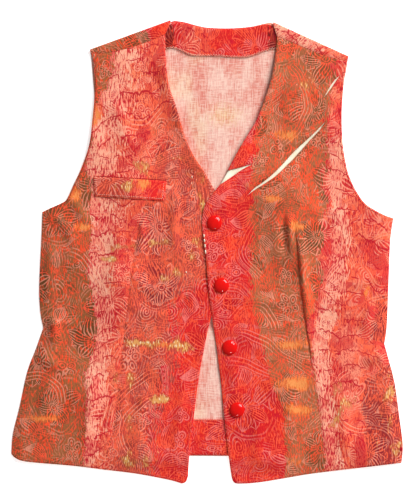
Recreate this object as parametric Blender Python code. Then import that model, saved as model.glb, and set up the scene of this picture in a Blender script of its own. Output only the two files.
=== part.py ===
"""A sleeveless front-opening vest, laid flat on its back.

The wearer's back panel lies on the table. The two fronts lie on it, the right
one lapped over the left one, and the back's cloth turns over both shoulders to
the forward shoulder seams. Lengths are in millimetres in the tables and are
scaled to metres when a mesh is made. +X is to the viewer's right, +Y is towards
the neck and +Z is up, from the table.
"""
import math
from collections import namedtuple

import bmesh
import bpy
from mathutils import Vector
from mathutils.geometry import delaunay_2d_cdt

MM = 0.001

# Layers
CLOTH = 1.2
SEAM = 0.3
FRONT_GAP = 2.0
BACKING_CLOTH = 1.0
LAP_LIFT = 1.8
FRONT_LEVEL = CLOTH + FRONT_GAP
FACING_LEVEL = CLOTH + SEAM
SIDE_LEVEL = CLOTH + SEAM
TABLE_CLEARANCE = 0.2

# The turn of the cloth over a shoulder, to the middle of the cloth
FOLD_RADIUS = (CLOTH + FRONT_GAP) / 2
FOLD_STEPS = 4

# Distances over which a panel changes level
SIDE_EASE = 18.0
HEM_EASE = 12.0
LAP_EASE = 13.0
LAP_MARGIN = 3.0

# Mesh steps
EDGE_STEP = 12.0
FRONT_STEP = 14.0
BACK_STEP = 26.0
TRIM_STEP = 13.0
RIP_STEP = 7.0
DART_STEP = 13.0
DART_FLANK = 6.0
CURVE_SAMPLES = 24
CLEAR_SHARE = 0.45
DOUBLED = 0.05
CLOTH_SHARP_ANGLE = math.radians(40)
CAP_SHARP_ANGLE = math.radians(50)

Row = namedtuple("Row", "x y")
Armhole = namedtuple("Armhole", "x y front_inset")
Fold = namedtuple("Fold", "x1 y1 x2 y2 width height")
Rip = namedtuple("Rip", "x y width")
Shoulder = namedtuple("Shoulder", "tip neck seam")

# Left side of the picture, from the shoulder down and round to the neck
LEFT_ARMHOLE = (
    Armhole(-150.6, 249.6, 2.8),
    Armhole(-148.4, 222.0, 2.2),
    Armhole(-146.9, 201.0, 0.6),
    Armhole(-149.5, 171.6, 0.4),
    Armhole(-153.4, 140.4, 0.4),
    Armhole(-163.8, 109.2, 0.4),
    Armhole(-173.5, 88.5, 0.4),
    Armhole(-182.6, 69.0, 0.4),
    Armhole(-190.0, 63.4, 0.4),
    Armhole(-204.0, 57.2, 0.4),
)
LEFT_UPPER_SIDE = (Row(-214.4, 52.0), Row(-215.8, 16.0), Row(-218.5, -45.0), Row(-217.1, -78.0),
                   Row(-213.2, -98.8))
LEFT_LOWER_SIDE = (Row(-213.2, -98.8), Row(-222.3, -124.8), Row(-234.0, -156.0), Row(-244.4, -202.8),
                   Row(-252.6, -236.0), Row(-254.8, -262.5))
LEFT_HEM = (Row(-254.8, -262.5), Row(-249.0, -268.2), Row(-233.0, -273.0), Row(-175.5, -278.2),
            Row(-133.9, -283.4), Row(-92.3, -288.6), Row(-50.7, -296.4), Row(-33.0, -301.4))
LEFT_POINT = (Row(-33.0, -301.4), Row(-27.5, -299.4), Row(-24.6, -292.0))
LEFT_FRONT_EDGE = (Row(-24.6, -292.0), Row(-22.6, -262.0), Row(-17.6, -218.4), Row(-9.8, -158.0),
                   Row(-2.7, -121.4), Row(2.6, -96.0), Row(12.0, -60.0), Row(18.0, -30.0),
                   Row(21.0, 0.0), Row(21.5, 36.0), Row(18.0, 66.0))
LEFT_NECKLINE = (Row(18.0, 66.0), Row(9.1, 81.9), Row(-3.9, 105.3), Row(-15.6, 122.2),
                 Row(-26.7, 145.6), Row(-35.1, 171.6), Row(-41.6, 193.7), Row(-49.4, 217.0),
                 Row(-52.9, 243.0), Row(-54.2, 269.0), Row(-54.2, 283.4))

# Right side of the picture
RIGHT_ARMHOLE = (
    Armhole(180.9, 234.0, 0.5),
    Armhole(178.1, 218.4, 0.4),
    Armhole(175.5, 180.0, 0.4),
    Armhole(176.8, 140.4, 0.4),
    Armhole(182.0, 109.2, 0.4),
    Armhole(187.2, 93.6, 0.4),
    Armhole(195.0, 78.0, 0.4),
    Armhole(206.7, 62.4, 0.4),
    Armhole(227.5, 49.6, 0.4),
)
RIGHT_UPPER_SIDE = (Row(242.5, 43.8), Row(238.6, 15.6), Row(236.6, -31.0), Row(234.2, -93.6),
                    Row(230.8, -119.6))
RIGHT_LOWER_SIDE = (Row(230.8, -119.6), Row(236.6, -140.4), Row(244.4, -171.6), Row(250.9, -218.4),
                    Row(254.9, -252.0), Row(253.2, -274.3))
RIGHT_HEM = (Row(253.2, -274.3), Row(198.9, -280.8), Row(136.5, -288.6), Row(105.3, -293.8),
             Row(74.1, -299.0), Row(54.0, -301.2), Row(39.5, -301.6))
RIGHT_POINT = (Row(39.5, -301.6), Row(34.6, -299.6), Row(32.0, -293.0))
RIGHT_FRONT_EDGE = (Row(32.0, -293.0), Row(28.0, -265.2), Row(22.8, -218.4), Row(17.6, -166.4),
                    Row(11.0, -114.4), Row(3.3, -62.4), Row(-1.3, -10.4), Row(-5.6, 26.0),
                    Row(-6.5, 43.0), Row(-2.6, 61.1), Row(6.2, 74.1), Row(16.9, 87.8))
RIGHT_NECKLINE = (Row(26.7, 106.0), Row(41.0, 132.6), Row(55.9, 157.3), Row(64.4, 171.6),
                  Row(74.8, 197.6), Row(83.2, 223.6), Row(88.4, 249.6), Row(90.4, 270.0),
                  Row(91.0, 280.2))

# The back's own edges
BACK_MIDDLE = 20.0
BACK_HEM = (Row(-254.8, -262.5), Row(-200.0, -265.4), Row(0.0, -265.5), Row(150.0, -268.0),
            Row(253.2, -274.3))
LEFT_HEM_LINE = (-244.0, -28.0)
RIGHT_HEM_LINE = (33.0, 243.0)
BACK_NECK = (Row(-42.0, 301.2), Row(-28.6, 299.0), Row(-9.1, 293.8), Row(3.9, 291.9),
             Row(27.3, 291.2), Row(55.9, 293.2), Row(78.0, 298.2), Row(83.0, 298.8))

# Where the back's cloth folds over a shoulder, seen from above, and the seam in front of it
LEFT_SHOULDER = Shoulder(
    tip=Row(-152.8, 263.5),
    neck=Row(-48.0, 301.6),
    seam=(Row(-150.2, 258.0), Row(-133.9, 258.7), Row(-119.6, 261.3), Row(-97.5, 266.5),
          Row(-71.5, 275.9), Row(-54.2, 283.4)),
)
RIGHT_SHOULDER = Shoulder(
    tip=Row(184.4, 254.6),
    neck=Row(86.6, 299.3),
    seam=(Row(182.8, 248.6), Row(167.7, 250.9), Row(146.9, 257.4), Row(124.8, 266.5),
          Row(106.6, 274.3), Row(91.0, 280.2)),
)

# Waist darts, from the point at the bust down to just above the hem
LEFT_DART = (Row(-88.4, 31.2), Row(-96.2, -13.0), Row(-104.0, -75.4), Row(-110.5, -127.4),
             Row(-118.3, -205.4), Row(-126.6, -258.0))
RIGHT_DART = (Row(111.8, 39.0), Row(117.0, 9.1), Row(122.2, -49.4), Row(129.4, -101.4),
              Row(137.8, -156.0), Row(148.9, -231.4), Row(152.7, -258.0))
DART_GROOVE = 3.5
DART_SHOULDER = 10.0
DART_DEPTH = 0.8

# The largest swells and hollows of each front: a soft ridge along a line
LEFT_FOLDS = (
    Fold(-96.0, 62.0, -104.0, -36.0, 46.0, 4.6),
    Fold(-150.0, 160.0, -112.0, 78.0, 24.0, 1.4),
    Fold(-58.0, -150.0, -72.0, -292.0, 24.0, 1.9),
    Fold(-186.0, -150.0, -200.0, -262.0, 24.0, 1.9),
    Fold(-110.0, 232.0, -84.0, 150.0, 26.0, 1.2),
)
RIGHT_FOLDS = (
    Fold(108.0, 56.0, 118.0, -34.0, 44.0, 5.6),
    Fold(166.0, 150.0, 132.0, 74.0, 24.0, 1.5),
    Fold(78.0, -140.0, 90.0, -292.0, 24.0, 2.1),
    Fold(196.0, -150.0, 212.0, -268.0, 24.0, 1.9),
    Fold(132.0, 232.0, 116.0, 176.0, 26.0, 1.2),
)

# Rips in the right front: the notch that runs in from the neckline, and two closed ones
NOTCH_END = Row(58.8, 114.7)
NOTCH_LOWER = (Row(16.9, 87.8), Row(29.9, 96.2), Row(42.9, 105.3), NOTCH_END)
NOTCH_UPPER = (NOTCH_END, Row(42.9, 109.9), Row(26.7, 106.0))
LONG_RIP = (
    Rip(52.0, 73.1, 0.0),
    Rip(62.4, 82.3, 2.2),
    Rip(75.4, 91.0, 2.8),
    Rip(88.4, 101.0, 4.4),
    Rip(101.4, 113.8, 4.8),
    Rip(111.0, 124.0, 6.1),
    Rip(120.9, 134.4, 5.0),
    Rip(133.9, 147.6, 3.0),
    Rip(146.9, 160.8, 2.2),
    Rip(154.0, 170.3, 0.0),
)
SHORT_RIP = (
    Rip(152.1, 200.9, 0.0),
    Rip(159.9, 212.6, 2.4),
    Rip(166.4, 222.4, 2.4),
    Rip(172.9, 230.1, 0.0),
)

# The cream under-layer that shows through the rips, its edge just inside the neckline
BACKING_NECK = (Row(16.4, 86.0), Row(27.6, 105.4), Row(42.0, 131.6), Row(52.0, 148.0))
BACKING_OUTER = (Row(52.0, 148.0), Row(100.0, 160.0), Row(136.0, 198.0), Row(152.0, 236.0),
                 Row(170.0, 243.0))
BACKING_ARMHOLE = (Row(170.0, 243.0), Row(174.0, 214.0), Row(170.0, 168.0))
BACKING_INNER = (Row(170.0, 168.0), Row(136.0, 128.0), Row(104.0, 92.0), Row(64.0, 62.0),
                 Row(40.0, 64.0), Row(28.0, 78.0), Row(16.4, 86.0))

# Neck facing, inside the back: its cut lower edge, and how far its ends run under the fronts
NECK_FACING_LOWER = (Row(97.0, 262.0), Row(87.6, 263.9), Row(74.8, 260.7), Row(56.4, 254.3),
                     Row(40.2, 253.1), Row(7.8, 254.8), Row(-19.1, 255.3), Row(-32.0, 260.7),
                     Row(-42.9, 265.1), Row(-53.6, 263.4), Row(-64.0, 262.0))
NECK_FACING_UPPER = (Row(-64.0, 289.0), Row(-44.0, 297.6), Row(-28.6, 297.4), Row(-9.1, 292.6),
                     Row(3.9, 290.7), Row(27.3, 290.0), Row(55.9, 292.0), Row(78.0, 296.4),
                     Row(97.0, 288.0))

# The hem of the back, turned up inside
HEM_DEPTH = 47.5
HEM_FACING_REACH = 222.0
HEM_FACING_INSET = 1.0

# Pocket welt on the left front: its corners, from the upper left one, clockwise
WELT_CORNERS = (Row(-147.6, 98.2), Row(-52.7, 92.3), Row(-55.3, 66.3), Row(-146.3, 72.2))

# Snap caps down the right front
CAP_RADIUS = 9.75
CAP_SEGMENTS = 28
CAP_SEAT_RADIUS = 11.0
CAP_SEAT_EASE = 10.0
CAP_CENTRES = (Row(9.6, 37.7), Row(18.9, -43.6), Row(29.3, -124.2), Row(39.0, -205.4))
CapRing = namedtuple("CapRing", "radius height")
CAP_PROFILE = (
    CapRing(1.00, 0.0),
    CapRing(1.00, 1.0),
    CapRing(0.93, 2.0),
    CapRing(0.74, 3.1),
    CapRing(0.44, 3.9),
)
CAP_CROWN = 4.2

Colour = namedtuple("Colour", "red green blue roughness")
COLOURS = {
    "back": Colour(0.74, 0.43, 0.37, 0.86),
    "front_left": Colour(0.62, 0.14, 0.08, 0.84),
    "front_right": Colour(0.66, 0.10, 0.06, 0.84),
    "neck_facing": Colour(0.70, 0.08, 0.05, 0.84),
    "back_hem_facing": Colour(0.68, 0.08, 0.05, 0.84),
    "rip_backing": Colour(0.90, 0.86, 0.72, 0.90),
    "pocket_welt": Colour(0.72, 0.12, 0.07, 0.84),
    "snap_cap": Colour(0.60, 0.01, 0.02, 0.18),
}


def smooth_step(value):
    """Ease from 0 to 1 as value goes from 0 to 1."""
    clamped = min(1.0, max(0.0, value))
    return clamped * clamped * (3.0 - 2.0 * clamped)


def segment_distance(x, y, ax, ay, bx, by):
    """Distance from a point to the segment from a to b."""
    along_x = bx - ax
    along_y = by - ay
    share = ((x - ax) * along_x + (y - ay) * along_y) / (along_x ** 2 + along_y ** 2)
    share = min(1.0, max(0.0, share))
    return math.hypot(x - ax - share * along_x, y - ay - share * along_y)


def line_distance(x, y, line):
    """Distance from a point to an open line of rows."""
    return min(segment_distance(x, y, a.x, a.y, b.x, b.y) for a, b in zip(line, line[1:]))


def across(line, y):
    """The x of a line that runs up or down the garment, at a height y."""
    rows = sorted(line, key=lambda row: row.y)
    if y <= rows[0].y:
        return rows[0].x
    for low, high in zip(rows, rows[1:]):
        if y <= high.y:
            return low.x + (high.x - low.x) * (y - low.y) / (high.y - low.y)
    return rows[-1].x


def smooth_curve(rows, step):
    """A smooth curve through rows, with points about one step apart."""
    ends = (rows[0],) + tuple(rows) + (rows[-1],)
    dense = []
    for before, start, end, after in zip(ends, ends[1:], ends[2:], ends[3:]):
        for sample in range(CURVE_SAMPLES):
            t = sample / CURVE_SAMPLES
            weights = (
                -0.5 * t + t ** 2 - 0.5 * t ** 3,
                1 - 2.5 * t ** 2 + 1.5 * t ** 3,
                0.5 * t + 2 * t ** 2 - 1.5 * t ** 3,
                -0.5 * t ** 2 + 0.5 * t ** 3,
            )
            corners = (before, start, end, after)
            dense.append(Row(
                sum(weight * corner.x for weight, corner in zip(weights, corners)),
                sum(weight * corner.y for weight, corner in zip(weights, corners)),
            ))
    dense.append(Row(rows[-1].x, rows[-1].y))
    lengths = [0.0]
    for a, b in zip(dense, dense[1:]):
        lengths.append(lengths[-1] + math.hypot(b.x - a.x, b.y - a.y))
    pieces = max(1, round(lengths[-1] / step))
    curve = []
    index = 0
    for piece in range(pieces):
        wanted = lengths[-1] * piece / pieces
        while lengths[index + 1] < wanted:
            index += 1
        share = (wanted - lengths[index]) / max(1e-9, lengths[index + 1] - lengths[index])
        a = dense[index]
        b = dense[index + 1]
        curve.append(Row(a.x + (b.x - a.x) * share, a.y + (b.y - a.y) * share))
    curve.append(dense[-1])
    return curve


def loop_of(curves):
    """A closed outline from curves that follow each other, with no doubled corner."""
    loop = []
    for curve in curves:
        for row in curve:
            if not loop or math.hypot(row.x - loop[-1].x, row.y - loop[-1].y) > DOUBLED:
                loop.append(row)
    if math.hypot(loop[0].x - loop[-1].x, loop[0].y - loop[-1].y) < DOUBLED:
        loop.pop()
    return loop


def inside(x, y, loop):
    """Whether a point is inside a closed outline."""
    result = False
    for a, b in zip(loop, loop[1:] + loop[:1]):
        if (a.y > y) != (b.y > y):
            if x < a.x + (b.x - a.x) * (y - a.y) / (b.y - a.y):
                result = not result
    return result


def rip_loop(rips):
    """The outline of a rip, worked out from its middle line and its width."""
    middle = smooth_curve([Row(rip.x, rip.y) for rip in rips], RIP_STEP)
    left = []
    right = []
    for before, here, after in zip(middle, middle[1:], middle[2:]):
        along = Vector((after.x - before.x, after.y - before.y)).normalized()
        half = across([Row(rip.width, rip.x) for rip in rips], here.x) / 2
        left.append(Row(here.x - along.y * half, here.y + along.x * half))
        right.append(Row(here.x + along.y * half, here.y - along.x * half))
    return [middle[0]] + right + [middle[-1]] + left[::-1]


def plan_mesh(loop, holes, lines, step):
    """Triangles over a flat outline, round its holes and with an edge along each line."""
    points = []
    edges = []
    for ring in [loop] + holes:
        first = len(points)
        points += ring
        edges += [(first + i, first + (i + 1) % len(ring)) for i in range(len(ring))]
    for line in lines:
        first = len(points)
        points += line
        edges += [(first + i, first + i + 1) for i in range(len(line) - 1)]
    borders = [(points[a], points[b]) for a, b in edges]
    row_height = step * math.sqrt(3) / 2
    low_x = min(row.x for row in loop)
    high_x = max(row.x for row in loop)
    y = min(row.y for row in loop) + row_height / 2
    shift = 0.0
    while y < max(row.y for row in loop):
        x = low_x + shift
        while x < high_x:
            clear = inside(x, y, loop) and not any(inside(x, y, hole) for hole in holes)
            reaches = (segment_distance(x, y, a.x, a.y, b.x, b.y) for a, b in borders)
            if clear and all(reach > step * CLEAR_SHARE for reach in reaches):
                points.append(Row(x, y))
            x += step
        y += row_height
        shift = step / 2 - shift
    plan = delaunay_2d_cdt([Vector((row.x, row.y)) for row in points], edges, [], 0, 1e-4)
    corners = plan[0]
    faces = []
    for face in plan[2]:
        middle = sum((corners[i] for i in face), Vector((0, 0))) / 3
        if inside(middle.x, middle.y, loop) and not any(inside(middle.x, middle.y, hole) for hole in holes):
            a, b, c = (corners[i] for i in face)
            turn = (b - a).cross(c - a)
            faces.append(tuple(face) if turn > 0 else tuple(reversed(face)))
    used = sorted({i for face in faces for i in face})
    place = {old: new for new, old in enumerate(used)}
    kept = [Row(corners[i].x, corners[i].y) for i in used]
    return kept, [tuple(place[i] for i in face) for face in faces]


def material(name, colour):
    """A plain cloth or plastic finish."""
    finish = bpy.data.materials.new(name)
    finish.use_nodes = True
    shader = finish.node_tree.nodes["Principled BSDF"]
    shader.inputs["Base Color"].default_value = (colour.red, colour.green, colour.blue, 1.0)
    shader.inputs["Roughness"].default_value = colour.roughness
    shader.inputs["Metallic"].default_value = 0.0
    finish.diffuse_color = (colour.red, colour.green, colour.blue, 1.0)
    return finish


def wall(name, plan, lower, upper, colour):
    """A closed cloth wall over a plan: lower and upper turn a plan point into a point in space."""
    rows, faces = plan
    mesh = bpy.data.meshes.new(name)
    shape = bmesh.new()
    bottom = [shape.verts.new(Vector(lower(row.x, row.y)) * MM) for row in rows]
    top = [shape.verts.new(Vector(upper(row.x, row.y)) * MM) for row in rows]
    sides = {}
    for face in faces:
        shape.faces.new([top[i] for i in face])
        shape.faces.new([bottom[i] for i in reversed(face)])
        for a, b in zip(face, face[1:] + face[:1]):
            sides[(a, b)] = True
    for a, b in sides:
        if (b, a) not in sides:
            shape.faces.new((top[b], top[a], bottom[a], bottom[b]))
    bmesh.ops.triangulate(shape, faces=shape.faces[:])
    shape.to_mesh(mesh)
    shape.free()
    mesh.shade_smooth()
    mesh.set_sharp_from_angle(angle=CLOTH_SHARP_ANGLE)
    piece = bpy.data.objects.new(name, mesh)
    bpy.context.collection.objects.link(piece)
    mesh.materials.append(material(name, colour))
    return piece


def layer(name, plan, height, thickness, colour):
    """A wall whose underside is at height(x, y)."""
    return wall(
        name,
        plan,
        lambda x, y: (x, y, height(x, y)),
        lambda x, y: (x, y, height(x, y) + thickness),
        colour,
    )


def relief(x, y, folds, dart):
    """Height added by a front's swells and by its dart, a groove between two soft shoulders."""
    total = 0.0
    for fold in folds:
        reach = segment_distance(x, y, fold.x1, fold.y1, fold.x2, fold.y2) / fold.width
        total += fold.height * math.exp(-reach ** 2)
    reach = line_distance(x, y, dart)
    groove = math.exp(-(reach / DART_GROOVE) ** 2)
    shoulder = math.exp(-(reach / DART_SHOULDER) ** 2)
    return total + DART_DEPTH * (shoulder - groove)


def front_height(x, y, side, folds, dart):
    """Underside of a front: level over the back, down at the side seam and beyond the back's hem."""
    swell = relief(x, y, folds, dart)
    ease = smooth_step(line_distance(x, y, side) / SIDE_EASE)
    height = SIDE_LEVEL + (FRONT_LEVEL + swell - SIDE_LEVEL) * ease
    hem_y = across([Row(row.y, row.x) for row in BACK_HEM], x)
    drop = smooth_step((hem_y - y) / HEM_EASE)
    return height + (TABLE_CLEARANCE - height) * drop


def left_height(x, y):
    return front_height(x, y, LEFT_UPPER_SIDE + LEFT_LOWER_SIDE[1:], LEFT_FOLDS, LEFT_DART)


def lapped_height(x, y):
    """The right front rides up over the edge of the left one."""
    base = front_height(x, y, RIGHT_UPPER_SIDE + RIGHT_LOWER_SIDE[1:], RIGHT_FOLDS, RIGHT_DART)
    under_edge = across(LEFT_FRONT_EDGE, y)
    return base + LAP_LIFT * smooth_step((under_edge + LAP_MARGIN + LAP_EASE - x) / LAP_EASE)


def right_height(x, y):
    """Under each snap cap the right front is level."""
    height = lapped_height(x, y)
    for centre in CAP_CENTRES:
        reach = math.hypot(x - centre.x, y - centre.y)
        hold = 1.0 - smooth_step((reach - CAP_SEAT_RADIUS) / CAP_SEAT_EASE)
        if hold > 0.0:
            height += (lapped_height(centre.x, centre.y) - height) * hold
    return height


def front_armhole(armhole, inward):
    """The front's armhole, a little inside the back's one."""
    return [Row(row.x + inward * row.front_inset, row.y) for row in armhole]


def lowered(rows, distance):
    """The same rows, moved down the garment by the seam's clearance."""
    return [Row(row.x, row.y - distance) for row in rows]


def dart_lines(dart):
    """The dart's seam and a line on each side of it."""
    seam = smooth_curve(dart, DART_STEP)
    lines = [seam]
    for side in (-1, 1):
        lines.append([Row(row.x + side * DART_FLANK, row.y) for row in seam])
    return lines


def line_over_hem(low_x, high_x):
    """The back's hem as a line of points in the front that hangs past it."""
    return [row for row in smooth_curve(BACK_HEM, EDGE_STEP) if low_x < row.x < high_x]


def left_front_plan():
    curves = [
        smooth_curve(front_armhole(LEFT_ARMHOLE, 1) + [LEFT_UPPER_SIDE[0]], EDGE_STEP),
        smooth_curve(LEFT_UPPER_SIDE, EDGE_STEP),
        smooth_curve(LEFT_LOWER_SIDE, EDGE_STEP),
        smooth_curve(LEFT_HEM, EDGE_STEP),
        smooth_curve(LEFT_POINT, EDGE_STEP / 3),
        smooth_curve(LEFT_FRONT_EDGE, EDGE_STEP),
        smooth_curve(LEFT_NECKLINE[:-1] + tuple(lowered(LEFT_NECKLINE[-1:], SEAM)), EDGE_STEP),
        smooth_curve(lowered(LEFT_SHOULDER.seam[::-1], SEAM), EDGE_STEP),
    ]
    lines = dart_lines(LEFT_DART) + [line_over_hem(*LEFT_HEM_LINE)]
    return plan_mesh(loop_of(curves), [], lines, FRONT_STEP)


def right_front_plan():
    curves = [
        smooth_curve(RIGHT_HEM, EDGE_STEP),
        smooth_curve(RIGHT_POINT, EDGE_STEP / 3),
        smooth_curve(RIGHT_FRONT_EDGE, EDGE_STEP),
        smooth_curve(NOTCH_LOWER, EDGE_STEP),
        smooth_curve(NOTCH_UPPER, EDGE_STEP),
        smooth_curve(RIGHT_NECKLINE[:-1] + tuple(lowered(RIGHT_NECKLINE[-1:], SEAM)), EDGE_STEP),
        smooth_curve(lowered(RIGHT_SHOULDER.seam[::-1], SEAM), EDGE_STEP),
        smooth_curve(front_armhole(RIGHT_ARMHOLE, -1) + [RIGHT_UPPER_SIDE[0]], EDGE_STEP),
        smooth_curve(RIGHT_UPPER_SIDE, EDGE_STEP),
        smooth_curve(RIGHT_LOWER_SIDE, EDGE_STEP),
    ]
    rips = [rip_loop(LONG_RIP), rip_loop(SHORT_RIP)]
    lines = dart_lines(RIGHT_DART) + [line_over_hem(*RIGHT_HEM_LINE)]
    return plan_mesh(loop_of(curves), rips, lines, FRONT_STEP)


class ShoulderFold:
    """The straight line where the back's cloth turns over one shoulder.

    In the flat cut, points beyond the line are at a positive distance from it. They
    go round half a turn and come to lie over the shoulder, face down on the front.
    """

    def __init__(self, shoulder, outward_sign):
        tip = Vector((shoulder.tip.x, shoulder.tip.y))
        neck = Vector((shoulder.neck.x, shoulder.neck.y))
        self.along = (neck - tip).normalized()
        self.outward = outward_sign * Vector((-self.along.y, self.along.x))
        outer_reach = FOLD_RADIUS + CLOTH / 2
        self.tip = tip - self.outward * outer_reach
        self.neck = neck - self.outward * outer_reach
        self.half_turn = math.pi * FOLD_RADIUS
        self.seam = shoulder.seam

    def distance(self, x, y):
        return (Vector((x, y)) - self.tip).dot(self.outward)

    def unfolded(self, row):
        """Where a point of the turned-over cloth lies in the flat cut."""
        depth = -self.distance(row.x, row.y)
        flat = Vector((row.x, row.y)) + self.outward * (2 * depth + self.half_turn)
        return Row(flat.x, flat.y)

    def turned(self, x, y, offset):
        """A point of the flat cut in space, offset above (or below) the middle of the cloth."""
        distance = self.distance(x, y)
        foot = Vector((x, y)) - self.outward * distance
        if distance >= self.half_turn:
            place = foot - self.outward * (distance - self.half_turn)
            return (place.x, place.y, CLOTH / 2 + 2 * FOLD_RADIUS - offset)
        angle = distance / FOLD_RADIUS
        radius = FOLD_RADIUS - offset
        place = foot + self.outward * radius * math.sin(angle)
        return (place.x, place.y, CLOTH / 2 + FOLD_RADIUS - radius * math.cos(angle))

    def end_points(self, end):
        """Points across the turn at one end of the shoulder."""
        rows = []
        for step in range(FOLD_STEPS + 1):
            point = end + self.outward * self.half_turn * step / FOLD_STEPS
            rows.append(Row(point.x, point.y))
        return rows

    def turn_lines(self):
        """Lines along the turn, between its two ends."""
        starts = self.end_points(self.tip)
        ends = self.end_points(self.neck)
        lines = []
        for start, end in zip(starts, ends):
            lines.append(smooth_curve((start, end), TRIM_STEP))
        return lines


LEFT_FOLD = ShoulderFold(LEFT_SHOULDER, 1)
RIGHT_FOLD = ShoulderFold(RIGHT_SHOULDER, -1)


def back_plan():
    """The back's flat cut, with the strips that turn over the shoulders unfolded."""
    left_strip = smooth_curve([LEFT_FOLD.unfolded(row) for row in LEFT_FOLD.seam], EDGE_STEP)
    right_strip = smooth_curve([RIGHT_FOLD.unfolded(row) for row in RIGHT_FOLD.seam[::-1]], EDGE_STEP)
    left_armhole = [Row(row.x, row.y) for row in reversed(LEFT_ARMHOLE)]
    right_armhole = [Row(row.x, row.y) for row in RIGHT_ARMHOLE]
    curves = [
        smooth_curve(BACK_HEM[::-1], BACK_STEP),
        smooth_curve(LEFT_LOWER_SIDE[::-1], EDGE_STEP),
        smooth_curve(LEFT_UPPER_SIDE[::-1], EDGE_STEP),
        smooth_curve([LEFT_UPPER_SIDE[0]] + left_armhole, EDGE_STEP),
        LEFT_FOLD.end_points(LEFT_FOLD.tip),
        left_strip,
        LEFT_FOLD.end_points(LEFT_FOLD.neck)[::-1],
        smooth_curve(BACK_NECK, EDGE_STEP),
        RIGHT_FOLD.end_points(RIGHT_FOLD.neck),
        right_strip,
        RIGHT_FOLD.end_points(RIGHT_FOLD.tip)[::-1],
        smooth_curve(right_armhole + [RIGHT_UPPER_SIDE[0]], EDGE_STEP),
        smooth_curve(RIGHT_UPPER_SIDE, EDGE_STEP),
        smooth_curve(RIGHT_LOWER_SIDE, EDGE_STEP),
    ]
    turns = [line[1:-1] for line in LEFT_FOLD.turn_lines() + RIGHT_FOLD.turn_lines()]
    return plan_mesh(loop_of(curves), [], turns, BACK_STEP)


def back_point(x, y, offset):
    """A point of the back's flat cut in space."""
    for fold in (LEFT_FOLD, RIGHT_FOLD):
        beside = (x < BACK_MIDDLE) == (fold is LEFT_FOLD)
        if beside and fold.distance(x, y) > 0.0:
            return fold.turned(x, y, offset)
    return (x, y, CLOTH / 2 + offset)


def build_back():
    half = CLOTH / 2
    wall(
        "back",
        back_plan(),
        lambda x, y: back_point(x, y, -half),
        lambda x, y: back_point(x, y, half),
        COLOURS["back"],
    )


def build_fronts():
    layer("front_left", left_front_plan(), left_height, CLOTH, COLOURS["front_left"])
    layer("front_right", right_front_plan(), right_height, CLOTH, COLOURS["front_right"])


def build_rip_backing():
    """The under-layer hangs just below the right front and follows its form."""
    curves = [
        smooth_curve(BACKING_NECK, TRIM_STEP),
        smooth_curve(BACKING_OUTER, TRIM_STEP),
        smooth_curve(BACKING_ARMHOLE, TRIM_STEP),
        smooth_curve(BACKING_INNER, TRIM_STEP),
    ]
    plan = plan_mesh(loop_of(curves), [], [], TRIM_STEP)
    layer(
        "rip_backing",
        plan,
        lambda x, y: right_height(x, y) - SEAM - BACKING_CLOTH,
        BACKING_CLOTH,
        COLOURS["rip_backing"],
    )


def build_facings():
    neck_curves = [
        smooth_curve(NECK_FACING_LOWER, TRIM_STEP),
        smooth_curve((NECK_FACING_LOWER[-1], NECK_FACING_UPPER[0]), TRIM_STEP),
        smooth_curve(NECK_FACING_UPPER, TRIM_STEP),
        smooth_curve((NECK_FACING_UPPER[-1], NECK_FACING_LOWER[0]), TRIM_STEP),
    ]
    neck_plan = plan_mesh(loop_of(neck_curves), [], [], TRIM_STEP)
    layer("neck_facing", neck_plan, lambda x, y: FACING_LEVEL, CLOTH, COLOURS["neck_facing"])

    inner = [row for row in smooth_curve(BACK_HEM, BACK_STEP) if abs(row.x) < HEM_FACING_REACH]
    lower_edge = [Row(row.x, row.y + HEM_FACING_INSET) for row in inner]
    upper_edge = [Row(row.x, row.y + HEM_DEPTH) for row in reversed(inner)]
    hem_plan = plan_mesh(loop_of([lower_edge, upper_edge]), [], [], BACK_STEP)
    layer("back_hem_facing", hem_plan, lambda x, y: FACING_LEVEL, CLOTH, COLOURS["back_hem_facing"])


def build_welt():
    """The pocket's welt lies on the left front and follows its form."""
    sides = zip(WELT_CORNERS, WELT_CORNERS[1:] + WELT_CORNERS[:1])
    loop = loop_of([smooth_curve(side, TRIM_STEP) for side in sides])
    plan = plan_mesh(loop, [], [], TRIM_STEP)
    layer(
        "pocket_welt",
        plan,
        lambda x, y: left_height(x, y) + CLOTH + SEAM,
        CLOTH,
        COLOURS["pocket_welt"],
    )


def build_cap(index, centre):
    """A domed snap cap, turned from its profile, on the face of the right front."""
    angles = [2 * math.pi * step / CAP_SEGMENTS for step in range(CAP_SEGMENTS)]
    rim = [(centre.x + CAP_RADIUS * math.cos(a), centre.y + CAP_RADIUS * math.sin(a)) for a in angles]
    seat = max(right_height(x, y) for x, y in rim + [centre]) + CLOTH + SEAM
    name = "snap_cap_" + str(index)
    mesh = bpy.data.meshes.new(name)
    shape = bmesh.new()
    rings = []
    for ring in CAP_PROFILE:
        radius = CAP_RADIUS * ring.radius
        rings.append([
            shape.verts.new(Vector((radius * math.cos(a), radius * math.sin(a), ring.height)) * MM)
            for a in angles
        ])
    crown = shape.verts.new(Vector((0.0, 0.0, CAP_CROWN)) * MM)
    shape.faces.new(rings[0][::-1])
    for low, high in zip(rings, rings[1:]):
        for step in range(CAP_SEGMENTS):
            after = (step + 1) % CAP_SEGMENTS
            shape.faces.new((low[step], low[after], high[after], high[step]))
    for step in range(CAP_SEGMENTS):
        shape.faces.new((rings[-1][step], rings[-1][(step + 1) % CAP_SEGMENTS], crown))
    shape.to_mesh(mesh)
    shape.free()
    mesh.shade_smooth()
    mesh.set_sharp_from_angle(angle=CAP_SHARP_ANGLE)
    mesh.materials.append(material(name, COLOURS["snap_cap"]))
    cap = bpy.data.objects.new(name, mesh)
    bpy.context.collection.objects.link(cap)
    cap.location = Vector((centre.x, centre.y, seat)) * MM


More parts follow.
